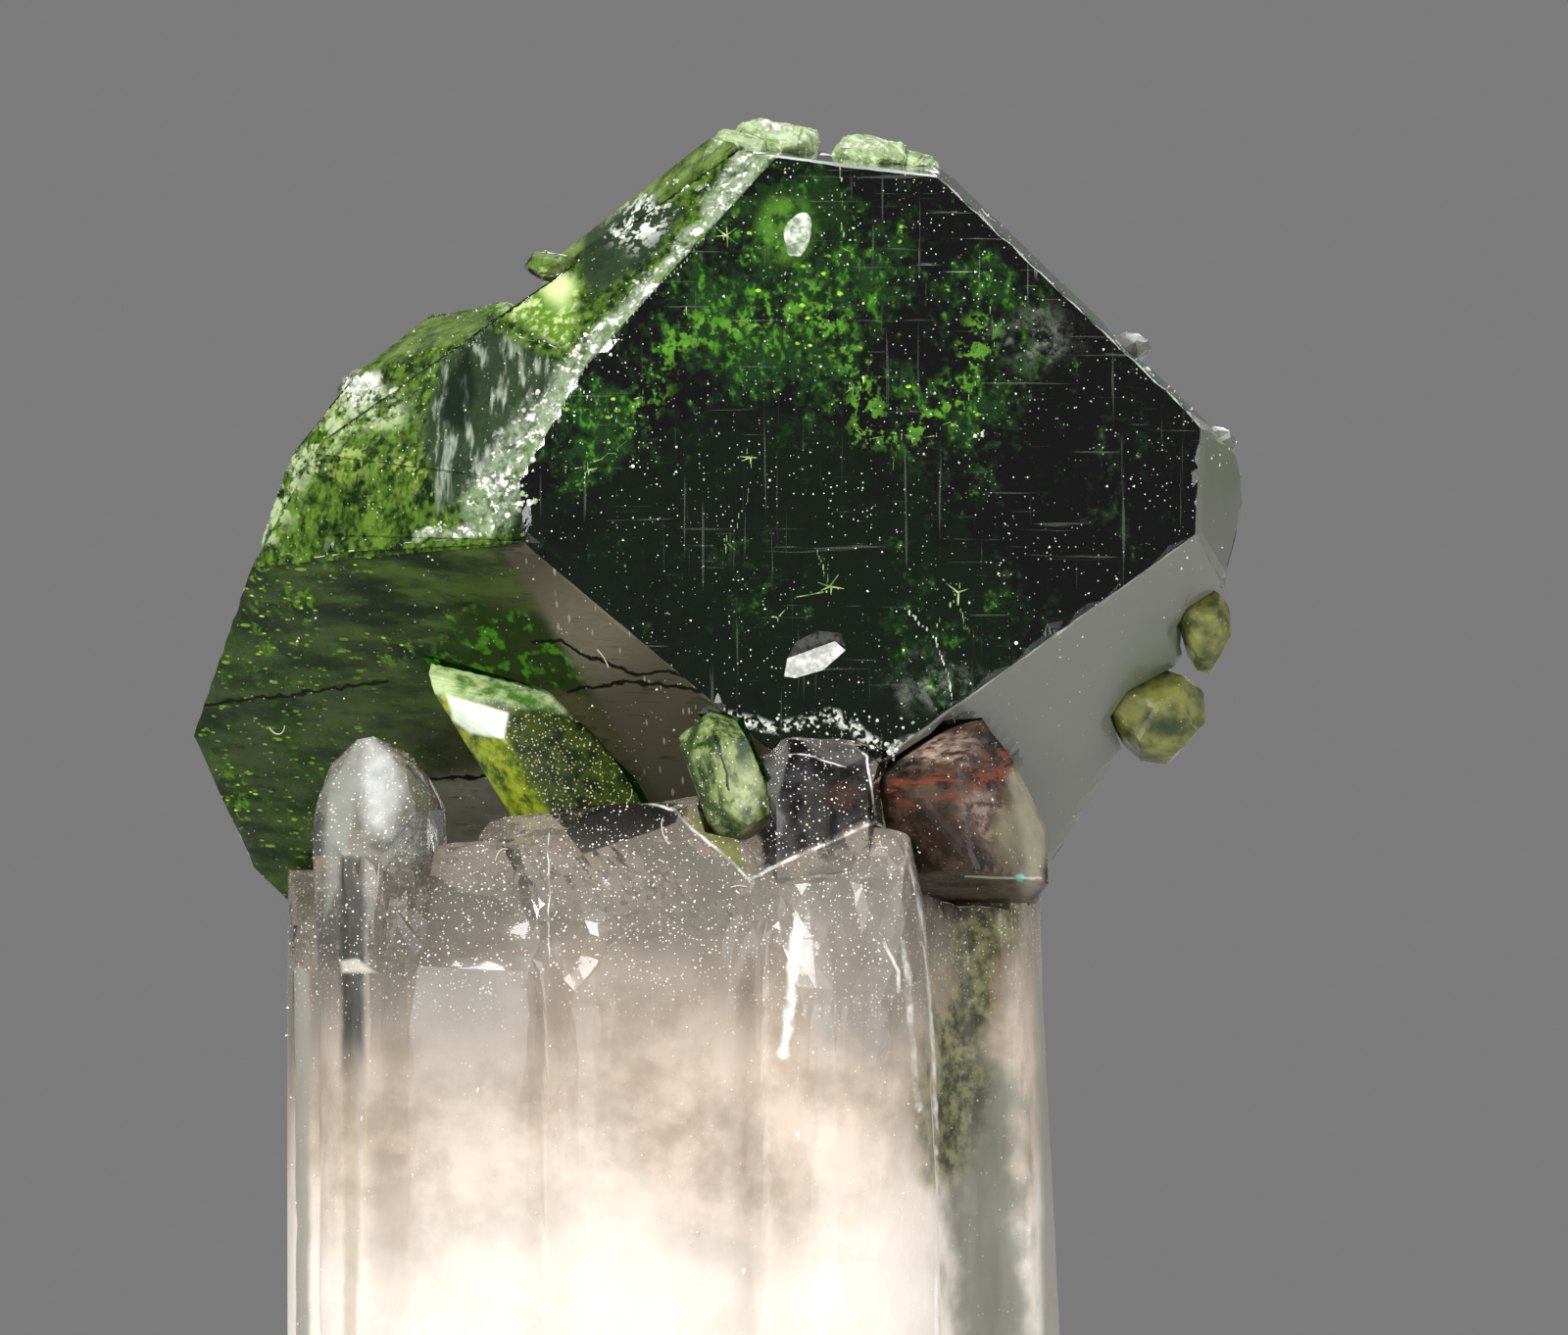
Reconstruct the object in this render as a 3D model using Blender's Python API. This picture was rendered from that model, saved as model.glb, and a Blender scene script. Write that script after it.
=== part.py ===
"""Fluor-uvite on quartz: one dark green crystal with smaller ones on a cluster of clear prisms.

Run with: blender --background --python part.py
Shapes are worked out in millimetres, X to the right, Y away from the viewer, Z up, and turned into metres
at the end. The picture plane is X and Z. A crystal is a block cut by flat faces. A face is either set by
its heading, lean and a point on it, or it is hinged on a line of a neighbouring face and turned by an angle.
"""

import math
import random

import bmesh
import bpy
from mathutils import Matrix, Vector

# Driving dimensions in millimetres and degrees
MILLIMETRE = 0.001
GAP = 0.06                    # clear space between two neighbouring pieces
BLOCK = 40.0                  # side of the raw block that a crystal is cut from
FRONT_DEPTH = -3.0            # depth of the middle of the large front face
BACK_DEPTH = 4.0              # depth of the crystal's back
QUARTZ_TIP = 38.2             # rise of the normal of a quartz tip face over the horizontal
PRISM_STEP = 60.0             # turn from one prism face to the next
FOOT_STEP = 0.17              # how much further down each raw prism goes before the cluster is cut flat
LUMP_FACES = 16               # flat faces on a rough knob

# Colours of the pieces: base colour, metallic, roughness
DARK_GREEN = ((0.012, 0.035, 0.010, 1.0), 0.0, 0.12)
BRIGHT_GREEN = ((0.130, 0.260, 0.030, 1.0), 0.0, 0.20)
OLIVE_GREEN = ((0.150, 0.200, 0.050, 1.0), 0.0, 0.25)
CLEAR_QUARTZ = ((0.780, 0.700, 0.640, 1.0), 0.0, 0.10)
IRON_BROWN = ((0.220, 0.090, 0.050, 1.0), 0.0, 0.35)


class Face:
    """A flat face: its outward normal and one point on it."""

    def __init__(self, normal, point):
        self.normal = Vector(normal).normalized()
        self.point = Vector(point)

    def at(self, spot):
        """The point of the face behind the picture spot (x, z)."""
        x, z = spot
        n = self.normal
        y = self.point.y - (n.x * (x - self.point.x) + n.z * (z - self.point.z)) / n.y
        return Vector((x, y, z))


def direction(heading, lean):
    """Normal that points to `heading` in the picture plane (0 right, 90 up) and leans to the viewer."""
    h = math.radians(heading)
    tilt = math.radians(lean)
    return Vector((math.cos(h) * math.cos(tilt), -math.sin(tilt), math.sin(h) * math.cos(tilt)))


def facing(heading, lean, spot, depth):
    """A face with a known direction through a picture spot at a known depth."""
    return Face(direction(heading, lean), (spot[0], depth, spot[1]))


def hinged(face, start, end, turn, centre):
    """A face through the line start-end of `face`, turned outward by `turn` degrees from it."""
    a = face.at(start)
    b = face.at(end)
    outward = face.normal.cross(b - a).normalized()
    if outward.dot((a + b) / 2 - centre) < 0:
        outward = -outward
    angle = math.radians(turn)
    return Face(face.normal * math.cos(angle) + outward * math.sin(angle), a)


def rim(face, start, end, lean, centre):
    """A face of the outline: through the line start-end of `face`, with a known lean to the viewer."""
    a = face.at(start)
    b = face.at(end)
    outward = face.normal.cross(b - a).normalized()
    if outward.dot((a + b) / 2 - centre) < 0:
        outward = -outward
    ahead = -face.normal.y
    aside = -outward.y
    angle = math.atan2(aside, ahead) + math.acos(math.sin(math.radians(lean)) / math.hypot(ahead, aside))
    return Face(face.normal * math.cos(angle) + outward * math.sin(angle), a)


def spanned(a, b, c, centre):
    """The face through three points, looking away from `centre`."""
    normal = (b - a).cross(c - a)
    if normal.dot(a - centre) < 0:
        normal = -normal
    return Face(normal, a)


def cut_block(name, faces, centre, grow=0.0):
    """A closed convex solid: a block round `centre` cut by every face, moved out by `grow`."""
    bm = bmesh.new()
    bmesh.ops.create_cube(bm, size=BLOCK, matrix=Matrix.Translation(centre))
    for face in faces:
        cut = bmesh.ops.bisect_plane(
            bm,
            geom=bm.verts[:] + bm.edges[:] + bm.faces[:],
            dist=1e-5,
            plane_co=face.point + face.normal * grow,
            plane_no=face.normal,
            clear_outer=True,
        )
        rim = [e for e in cut["geom_cut"] if isinstance(e, bmesh.types.BMEdge)]
        if rim:
            bmesh.ops.holes_fill(bm, edges=rim)
    bmesh.ops.remove_doubles(bm, verts=bm.verts[:], dist=1e-4)
    bmesh.ops.recalc_face_normals(bm, faces=bm.faces[:])
    return put(name, bm)


def put(name, bm):
    """An object with the finished mesh."""
    mesh = bpy.data.meshes.new(name)
    bm.to_mesh(mesh)
    bm.free()
    obj = bpy.data.objects.new(name, mesh)
    bpy.context.scene.collection.objects.link(obj)
    return obj


def combine(obj, other, operation):
    """Join `other` to `obj`, or cut it away, and remove `other`."""
    modifier = obj.modifiers.new("Combine", "BOOLEAN")
    modifier.operation = operation
    modifier.solver = "EXACT"
    modifier.object = other
    depsgraph = bpy.context.evaluated_depsgraph_get()
    result = bpy.data.meshes.new_from_object(obj.evaluated_get(depsgraph))
    obj.modifiers.clear()
    obj.data = result
    bpy.data.objects.remove(other)


def lump(name, spot, depth, radii, seed):
    """A rough convex knob: an ellipsoid's tangent planes at random places."""
    rng = random.Random(seed)
    centre = Vector((spot[0], depth, spot[1]))
    faces = []
    for step in range(LUMP_FACES):
        height = 1.0 - 2.0 * (step + rng.uniform(0.2, 0.8)) / LUMP_FACES
        turn = step * math.radians(137.5) + rng.uniform(-0.3, 0.3)
        flat = math.sqrt(1.0 - height * height)
        way = Vector((flat * math.cos(turn), flat * math.sin(turn), height))
        reach = Vector((way.x * radii[0], way.y * radii[1], way.z * radii[2])) * rng.uniform(0.88, 1.0)
        normal = Vector((way.x / radii[0], way.y / radii[1], way.z / radii[2]))
        faces.append(Face(normal, centre + reach))
    return cut_block(name, faces, centre)


# Main uvite: outline and edges of the large front face
FRONT_MIDDLE = (1.66, 13.32)
FRONT_LEFT = (-2.36, 12.06)
FRONT_BOTTOM = (1.34, 8.95)
FRONT_RIGHT_LOW = (5.88, 12.18)
FRONT_RIGHT_HIGH = (5.95, 13.54)
FRONT_TOP_RIGHT = (2.71, 16.58)
FRONT_TOP_LEFT = (0.72, 16.82)
BEVEL_KNEE = (-1.61, 14.26)
BEVEL_END = (-2.42, 12.84)
MAIN_CENTRE = Vector((0.10, 0.3, 12.48))


def main_faces():
    """Faces of the main crystal, by name."""
    c = MAIN_CENTRE
    f = {}
    f["front"] = facing(31.0, 76.5, FRONT_MIDDLE, FRONT_DEPTH)
    f["lower left"] = hinged(f["front"], FRONT_LEFT, FRONT_BOTTOM, 52.5, c)
    f["lower right"] = hinged(f["front"], FRONT_RIGHT_LOW, FRONT_BOTTOM, 46.5, c)
    f["right"] = hinged(f["front"], FRONT_RIGHT_LOW, FRONT_RIGHT_HIGH, 53.5, c)
    f["upper right"] = hinged(f["front"], FRONT_RIGHT_HIGH, FRONT_TOP_RIGHT, 72.0, c)
    f["top"] = rim(f["front"], FRONT_TOP_RIGHT, FRONT_TOP_LEFT, 5.0, c)
    f["bevel"] = hinged(f["front"], FRONT_TOP_LEFT, BEVEL_KNEE, 42.0, c)
    f["lower bevel"] = hinged(f["front"], BEVEL_KNEE, BEVEL_END, 40.0, c)
    f["left bevel"] = hinged(f["front"], BEVEL_END, FRONT_LEFT, 40.0, c)
    f["left"] = rim(f["lower left"], (-6.50, 9.70), (-5.64, 12.06), -14.0, c)
    f["low left"] = rim(f["lower left"], (-6.50, 9.70), (-5.78, 8.06), -12.0, c)
    f["lowest left"] = rim(f["lower left"], (-5.78, 8.06), (-5.06, 7.38), -8.0, c)
    f["right corner"] = facing(40.0, 8.0, (6.28, 13.34), -1.0)
    f["back right"] = rim(f["right"], (6.49, 13.06), (6.49, 11.76), -22.0, c)
    f["back low right"] = rim(f["lower right"], (6.41, 11.78), (4.03, 7.98), -20.0, c)
    f["back upper right"] = facing(43.0, -33.0, (4.42, 15.16), -1.0)
    f["upper left"] = facing(125.0, 0.0, (-1.10, 15.96), 0.0)
    f["back upper left"] = facing(128.0, -38.0, (-1.10, 15.96), 1.0)
    f["back top"] = facing(85.0, -38.0, (1.66, 16.92), -0.6)
    f["back left"] = facing(172.0, -42.0, (-6.20, 10.32), 1.2)
    f["back"] = facing(190.0, -77.0, (0.10, 12.48), BACK_DEPTH)
    f["bottom"] = facing(268.0, -12.0, (-0.38, 6.90), 0.3)
    return f


def upper_crystal(main):
    """The crystal grown parallel on the upper left, its face a little behind the front."""
    c = Vector((-1.10, -0.6, 15.36))
    edge = ((0.06, 16.82), (-1.58, 14.50))
    front = hinged(main["bevel"], edge[0], edge[1], -33.0, MAIN_CENTRE)
    left = hinged(front, (-2.06, 15.58), (-1.80, 14.52), 40.0, c)
    faces = [front, left, hinged(front, (-1.99, 15.48), (-0.05, 16.80), 50.0, c)]
    faces.append(spanned(front.at(edge[0]), front.at(edge[1]), Vector((0.70, 1.0, 14.16)), c))
    faces.append(facing(124.0, -6.0, (-1.10, 16.34), -1.3))
    faces.append(facing(134.0, -8.0, (-2.46, 15.32), -0.9))
    faces.append(facing(205.0, 0.0, (-2.81, 14.98), 0.0))
    faces.append(facing(235.0, 0.0, (-2.54, 13.68), 0.0))
    faces.append(facing(75.0, 0.0, (0.04, 17.04), 0.0))
    faces.append(facing(124.0, -45.0, (-1.10, 16.34), 0.4))
    faces.append(facing(150.0, -72.0, (-1.10, 15.12), 0.9))
    return cut_block("upper_crystal", faces, c)


def left_crystal(main):
    """The crystal grown parallel on the left, over the lower left face."""
    c = Vector((-3.62, 0.0, 12.96))
    low_left = main["lower left"].at((-5.36, 11.93))
    low_right = main["lower left"].at((-2.42, 12.07))
    high_right = Vector((-1.80, -3.42, 14.11))
    front = spanned(low_left, low_right, high_right, c)
    faces = [front, hinged(front, (-4.19, 14.21), (-2.82, 14.69), 42.0, c)]
    faces.append(spanned(low_right, high_right, Vector((-1.10, 1.0, 12.00)), c))
    faces.append(facing(96.0, -8.0, (-3.26, 14.90), -1.2))
    faces.append(facing(134.0, -8.0, (-3.90, 14.60), -1.3))
    faces.append(facing(141.0, -8.0, (-4.96, 13.48), -1.5))
    faces.append(facing(160.0, -10.0, (-5.46, 12.58), -1.6))
    faces.append(facing(146.0, 40.0, (-4.73, 13.44), -2.0))
    faces.append(facing(166.0, 38.0, (-5.21, 12.48), -2.0))
    faces.append(facing(100.0, -45.0, (-3.26, 14.90), 0.4))
    faces.append(facing(140.0, -45.0, (-4.70, 13.68), 0.3))
    faces.append(facing(170.0, -40.0, (-5.57, 12.18), 0.2))
    faces.append(spanned(low_left, low_right, Vector((-3.98, 1.5, 12.66)), c))
    faces.append(facing(60.0, 10.0, (-2.06, 14.58), -2.6))
    faces.append(facing(185.0, -70.0, (-3.62, 12.96), 2.4))
    return cut_block("left_crystal", faces, c)


# Rough knobs fused to the main crystal: picture spot, depth, radii in x, depth and height
KNOBS = (
    ((0.65, 16.90), -0.9, (0.60, 0.80, 0.40)),
    ((0.24, 16.78), -1.6, (0.42, 0.60, 0.36)),
    ((1.84, 16.80), -0.7, (0.50, 0.75, 0.29)),
    ((2.32, 16.70), -0.4, (0.34, 0.60, 0.24)),
    ((-4.37, 13.99), -1.3, (0.30, 0.45, 0.24)),
    ((-3.36, 14.66), -0.8, (0.36, 0.50, 0.26)),
    ((-2.06, 15.50), -0.9, (0.34, 0.45, 0.18)),
    ((5.08, 14.50), -0.9, (0.26, 0.50, 0.20)),
    ((6.17, 13.30), -0.8, (0.24, 0.40, 0.22)),
)


# Small crystals on the right: name, picture spot, depth, radii in x, depth and height
RIGHT_CRYSTALS = (
    ("small_uvite_right_upper", (6.01, 11.02), -1.25, (0.30, 0.45, 0.50)),
    ("small_uvite_right_lower", (5.42, 9.96), -0.95, (0.56, 0.60, 0.56)),
)


def build_main():
    """The main crystal with the crystals and knobs that have grown together with it."""
    main = main_faces()
    body = cut_block("main_uvite", main.values(), MAIN_CENTRE)
    combine(body, upper_crystal(main), "UNION")
    combine(body, left_crystal(main), "UNION")
    for index, (spot, depth, radii) in enumerate(KNOBS):
        combine(body, lump("knob", spot, depth, radii, seed=index + 3), "UNION")
    return body


def upright(azimuth, x, depth):
    """An upright prism face through (x, depth): azimuth 0 right, 90 to the viewer, 180 left."""
    turn = math.radians(azimuth)
    return Face((math.cos(turn), -math.sin(turn), 0.0), (x, depth, 0.0))


def sloping(azimuth, rise, spot, depth):
    """A tip face that looks to `azimuth` and rises `rise` degrees over the horizontal."""
    turn = math.radians(azimuth)
    lift = math.radians(rise)
    normal = (math.cos(turn) * math.cos(lift), -math.sin(turn) * math.cos(lift), math.sin(lift))
    return Face(normal, (spot[0], depth, spot[1]))


def left_front_prism():
    """The broad clear prism under the leaning green crystal."""
    return [
        upright(102, -3.14, -4.90),
        upright(168, -4.30, -4.30),
        upright(220, -4.08, -1.20),
        upright(285, -3.14, 0.60),
        upright(30, -1.10, -3.20),
        sloping(100, 36, (-3.14, 6.90), -4.90),
        facing(101, 20, (-3.50, 8.32), -3.80),
        sloping(262, 74, (-3.50, 8.38), -3.60),
    ]


def middle_front_prism():
    """The clear prism whose shoulder drops to the notch in the middle."""
    return [
        upright(86, -0.86, -5.30),
        upright(150, -1.99, -5.02),
        upright(205, -2.30, -2.00),
        upright(270, -0.86, 0.60),
        upright(335, 0.48, -2.20),
        upright(28, 0.30, -5.00),
        sloping(90, 33, (-0.86, 6.72), -5.30),
        facing(44, 32, (-0.06, 8.44), -4.55),
        facing(110, 22, (-1.52, 8.71), -4.10),
        sloping(268, 76, (-0.86, 8.92), -3.90),
    ]


def right_front_prism():
    """The clear prism right of the notch, with a long bright edge."""
    return [
        upright(94, 1.78, -5.20),
        upright(140, 0.96, -5.08),
        upright(186, 0.43, -4.20),
        upright(270, 1.54, 0.60),
        facing(1.5, -14, (2.64, 4.92), -3.60),
        facing(1.5, 38, (2.62, 4.92), -4.30),
        sloping(92, 30, (1.78, 6.62), -5.20),
        facing(114, 24, (1.15, 8.33), -4.45),
        facing(45, 26, (2.10, 8.45), -4.30),
        facing(8, 12, (2.42, 7.50), -4.30),
        sloping(270, 72, (1.78, 8.62), -4.10),
    ]


def notch_prism():
    """The dark clear prism that closes the notch between the two front ones."""
    return [
        upright(90, 0.70, -4.42),
        upright(150, -0.38, -4.05),
        upright(30, 1.82, -4.05),
        upright(270, 0.70, -1.00),
        sloping(98, 30, (0.70, 7.86), -4.42),
        facing(106, 20, (0.04, 8.86), -3.98),
        facing(62, 20, (1.32, 8.93), -3.98),
        sloping(270, 60, (0.70, 9.12), -3.60),
    ]


def small_tip_prism():
    """The small dark tip in front of the lowest corner of the main crystal."""
    return [
        upright(82, 1.27, -4.34),
        upright(150, 0.53, -4.10),
        upright(22, 1.93, -4.08),
        upright(270, 1.20, -3.20),
        facing(131, 30, (0.85, 9.50), -4.02),
        facing(61, 26, (1.56, 9.58), -4.02),
        sloping(84, 40, (1.27, 8.98), -4.34),
        sloping(270, 50, (1.20, 9.72), -3.75),
    ]


def slim_left_prism():
    """The slim pointed prism on the left."""
    return [
        upright(96, -4.32, -4.95),
        upright(148, -4.70, -4.70),
        upright(195, -4.92, -4.20),
        upright(270, -4.27, -3.30),
        upright(15, -3.60, -4.40),
        upright(50, -3.96, -4.86),
        facing(142, 16, (-4.57, 9.46), -3.90),
        facing(28, 14, (-3.74, 9.22), -4.10),
        facing(55, 20, (-4.15, 9.66), -3.90),
        sloping(96, 38, (-4.32, 8.26), -4.95),
        sloping(150, 30, (-4.85, 8.74), -4.45),
        sloping(265, 40, (-4.32, 9.74), -3.82),
    ]


def back_left_prism():
    """The prism that shows as a pale strip at the far left."""
    return [
        upright(112, -4.82, -2.60),
        upright(178, -5.29, -1.20),
        upright(235, -5.06, 1.40),
        upright(280, -3.98, 2.30),
        upright(45, -3.14, -1.60),
        facing(98, 15, (-4.82, 7.62), -1.80),
        sloping(250, 45, (-4.46, 7.86), 0.80),
    ]


def back_right_prism():
    """The prism that shows as a mottled strip at the far right."""
    return [
        upright(78, 3.34, -1.90),
        facing(3, 10, (4.18, 4.92), 0.40),
        facing(3, -32, (4.18, 4.92), 0.40),
        upright(270, 3.34, 3.00),
        upright(190, 1.54, 0.40),
        facing(50, 14, (3.94, 8.10), -0.90),
        sloping(268, 45, (3.34, 8.52), 1.20),
    ]


def far_prisms():
    """Prisms behind and between, which carry the main crystal."""
    spots = (
        ((-0.24, 7.56), -0.60, 2.45, 17.0),
        ((-2.72, 8.76), 1.60, 1.50, 4.0),
        ((0.04, 9.22), 2.50, 1.60, -6.0),
        ((2.26, 8.52), 2.20, 1.35, 9.0),
    )
    prisms = []
    for spot, depth, radius, turn in spots:
        faces = []
        for k in range(6):
            azimuth = turn + PRISM_STEP * k
            way = direction(0.0, 0.0) * math.cos(math.radians(azimuth))
            way += direction(0.0, 90.0) * math.sin(math.radians(azimuth))
            side = Vector((spot[0], depth, spot[1])) + way * radius
            faces.append(Face(way, side))
            lift = math.radians(QUARTZ_TIP)
            drop = 0.25 if k % 2 else 0.0
            slope = way * math.cos(lift) + Vector((0.0, 0.0, math.sin(lift)))
            faces.append(Face(slope, (spot[0], depth, spot[1] - drop)))
        prisms.append(faces)
    return prisms


def middle_of(faces, height=2.0):
    """A point inside an upright prism: the mean of its side faces, near the ground."""
    sides = [f.point for f in faces if abs(f.normal.z) < 0.2]
    x = sum(p.x for p in sides) / len(sides)
    y = sum(p.y for p in sides) / len(sides)
    return Vector((x, y, height))


def build_quartz():
    """All clear prisms, grown into one cluster and cut flat at the foot."""
    prisms = [
        left_front_prism(),
        middle_front_prism(),
        right_front_prism(),
        notch_prism(),
        small_tip_prism(),
        slim_left_prism(),
        back_left_prism(),
        back_right_prism(),
    ]
    prisms += far_prisms()
    cluster = None
    for index, faces in enumerate(prisms):
        foot = Face((0.0, 0.0, -1.0), (0.0, 0.0, -1.0 - FOOT_STEP * index))
        prism = cut_block("quartz_cluster", faces + [foot], middle_of(faces))
        if cluster is None:
            cluster = prism
        else:
            combine(cluster, prism, "UNION")
    below = Vector((0.0, 0.0, -BLOCK / 2))
    combine(cluster, cut_block("below", [], below), "DIFFERENCE")
    return cluster


def leaning_crystal_faces():
    """The pointed green crystal that leans on the lower left face."""
    return [
        facing(31.6, 56, (-2.34, 9.22), -3.30),
        facing(211.6, 42, (-2.34, 9.22), -3.30),
        facing(31.6, -8, (-1.38, 9.66), -2.70),
        facing(211.6, -25, (-3.00, 9.46), -2.80),
        facing(112, 62, (-2.63, 9.70), -3.24),
        facing(84, 34, (-2.72, 10.13), -3.05),
        facing(76, -10, (-2.69, 10.44), -2.70),
        facing(47, -5, (-1.85, 10.19), -2.80),
        facing(140, 10, (-3.53, 10.54), -2.90),
        facing(195, 15, (-3.59, 10.44), -2.90),
        facing(120, -72, (-2.54, 9.48), -1.70),
        facing(290, 10, (-1.70, 7.98), -2.60),
    ]


def centre_crystal_faces():
    """The small light green prism at the middle of the foot."""
    return [
        facing(22, 58, (0.01, 9.24), -4.42),
        facing(205, 50, (-0.02, 9.24), -4.40),
        facing(22, -5, (0.55, 9.24), -4.05),
        facing(200, -5, (-0.37, 9.38), -4.05),
        facing(70, 20, (0.36, 9.72), -4.00),
        facing(112, 40, (-0.12, 9.82), -4.05),
        facing(130, 0, (-0.29, 9.86), -3.95),
        facing(255, 30, (0.16, 8.57), -4.15),
        facing(300, 10, (0.56, 8.66), -4.05),
        facing(225, 10, (-0.24, 8.74), -4.05),
        facing(110, -75, (0.12, 9.24), -3.40),
    ]


def brown_crystal_faces():
    """The iron-stained crystal at the right of the foot."""
    return [
        facing(60, 72, (2.92, 9.00), -3.95),
        facing(215, 50, (2.20, 8.70), -3.75),
        facing(105, 35, (2.74, 9.54), -3.50),
        facing(36, 35, (3.34, 9.50), -3.40),
        facing(20, 40, (3.77, 8.64), -3.20),
        facing(104, -8, (3.04, 9.83), -2.90),
        facing(40, -8, (3.43, 9.64), -2.90),
        facing(27, -8, (3.90, 8.83), -2.80),
        facing(358, -5, (4.04, 8.28), -2.80),
        facing(122, 5, (2.26, 9.43), -3.30),
        facing(180, 10, (2.00, 8.64), -3.50),
        facing(268, 10, (3.04, 7.93), -3.20),
        facing(60, -75, (2.92, 9.00), -1.90),
    ]


def shift_to_reference(objects):
    """Move every mesh so that the origin is the bottom centre of the whole, and turn it into metres."""
    corners = [v.co for obj in objects for v in obj.data.vertices]
    low = Vector([min(c[k] for c in corners) for k in range(3)])
    high = Vector([max(c[k] for c in corners) for k in range(3)])
    base = Vector(((low.x + high.x) / 2, (low.y + high.y) / 2, low.z))
    scale = Matrix.Scale(MILLIMETRE, 4)
    for obj in objects:
        obj.data.transform(scale @ Matrix.Translation(-base))
        obj.data.update()


def paint(obj, look):
    """One plain material of the piece's own colour."""
    colour, metallic, roughness = look
    material = bpy.data.materials.new(obj.name)
    material.use_nodes = True
    shader = material.node_tree.nodes["Principled BSDF"]
    shader.inputs["Base Color"].default_value = colour
    shader.inputs["Metallic"].default_value = metallic
    shader.inputs["Roughness"].default_value = roughness
    obj.data.materials.clear()
    obj.data.materials.append(material)


def main():
    """Build every piece, seat the neighbours in each other with a gap, and place the whole."""
    for old in list(bpy.data.objects):
        bpy.data.objects.remove(old)

    leaning_middle = Vector((-2.30, -2.6, 9.42))
    centre_middle = Vector((0.12, -4.0, 9.24))
    brown_middle = Vector((2.98, -2.9, 8.82))
    small = (
        ("small_uvite_left", leaning_crystal_faces(), leaning_middle),
        ("small_uvite_centre", centre_crystal_faces(), centre_middle),
        ("brown_crystal", brown_crystal_faces(), brown_middle),
    )
    main_uvite = build_main()
    quartz = build_quartz()
    combine(quartz, cut_block("pocket", main_faces().values(), MAIN_CENTRE, GAP), "DIFFERENCE")
    pieces = {"main_uvite": main_uvite, "quartz_cluster": quartz}
    for name, faces, middle in small:
        for carrier in (main_uvite, quartz):
            combine(carrier, cut_block("pocket", faces, middle, GAP), "DIFFERENCE")
        pieces[name] = cut_block(name, faces, middle)
    for name, spot, depth, radii in RIGHT_CRYSTALS:
        wide = tuple(r + GAP for r in radii)
        combine(main_uvite, lump("pocket", spot, depth, wide, seed=len(name)), "DIFFERENCE")
        pieces[name] = lump(name, spot, depth, radii, seed=len(name))

    looks = {
        "main_uvite": DARK_GREEN,
        "small_uvite_left": BRIGHT_GREEN,
        "small_uvite_centre": BRIGHT_GREEN,
        "small_uvite_right_upper": OLIVE_GREEN,
        "small_uvite_right_lower": OLIVE_GREEN,
        "quartz_cluster": CLEAR_QUARTZ,
        "brown_crystal": IRON_BROWN,
    }
    for name, obj in pieces.items():
        obj.name = name
        obj.data.name = name
        paint(obj, looks[name])
    shift_to_reference(list(pieces.values()))


main()
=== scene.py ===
# %% [markdown]
# A dark green uvite crystal on clear quartz. The specimen is 17 mm high. Everything here is placed in
# millimetres and turned into metres by one factor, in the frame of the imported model, so that each piece of
# the looks lies where its solid lies.

# %% Load the fixed frame
import math
import random

import bmesh
import bpy
from mathutils import Matrix, Vector, noise
from mathutils.bvhtree import BVHTree
from mathutils.geometry import intersect_point_line


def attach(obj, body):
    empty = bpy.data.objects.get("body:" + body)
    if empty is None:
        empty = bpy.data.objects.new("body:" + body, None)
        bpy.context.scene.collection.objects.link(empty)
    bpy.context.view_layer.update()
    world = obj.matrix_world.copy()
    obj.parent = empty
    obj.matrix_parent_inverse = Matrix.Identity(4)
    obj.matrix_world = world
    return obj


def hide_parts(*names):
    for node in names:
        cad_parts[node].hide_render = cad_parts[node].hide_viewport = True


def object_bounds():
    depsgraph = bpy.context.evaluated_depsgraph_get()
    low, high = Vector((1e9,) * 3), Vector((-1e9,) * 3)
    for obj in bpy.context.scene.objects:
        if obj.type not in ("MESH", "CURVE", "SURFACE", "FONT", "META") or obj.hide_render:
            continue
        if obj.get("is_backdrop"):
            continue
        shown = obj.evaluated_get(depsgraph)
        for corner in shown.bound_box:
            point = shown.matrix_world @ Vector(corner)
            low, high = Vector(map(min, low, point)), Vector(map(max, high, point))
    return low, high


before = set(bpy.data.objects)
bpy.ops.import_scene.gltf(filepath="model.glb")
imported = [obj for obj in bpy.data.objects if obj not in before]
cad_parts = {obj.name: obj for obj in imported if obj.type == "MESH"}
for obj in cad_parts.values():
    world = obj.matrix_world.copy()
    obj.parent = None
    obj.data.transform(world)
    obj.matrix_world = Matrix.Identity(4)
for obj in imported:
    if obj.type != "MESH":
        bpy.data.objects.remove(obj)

MM = 0.001
CAD_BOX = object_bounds()
print("CAD box in mm:", [[round(v / MM, 2) for v in corner] for corner in CAD_BOX])

# %% [markdown]
# The photograph looks straight at the specimen from its own height, from far away, so its lines hardly
# converge. A camera with a long lens does the same. Its frame is as wide as the photograph's.

# %% Camera
PIXEL = 0.012
PHOTO_WIDTH = 1600
AIM = Vector((0.82, -2.8, 10.55))
CAMERA_DISTANCE = 300.0
SENSOR_WIDTH = 36.0
UPRIGHT = math.radians(90.0)


def link(name, data):
    """An object for the data, in the scene."""
    made = bpy.data.objects.new(name, data)
    bpy.context.scene.collection.objects.link(made)
    return made


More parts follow.
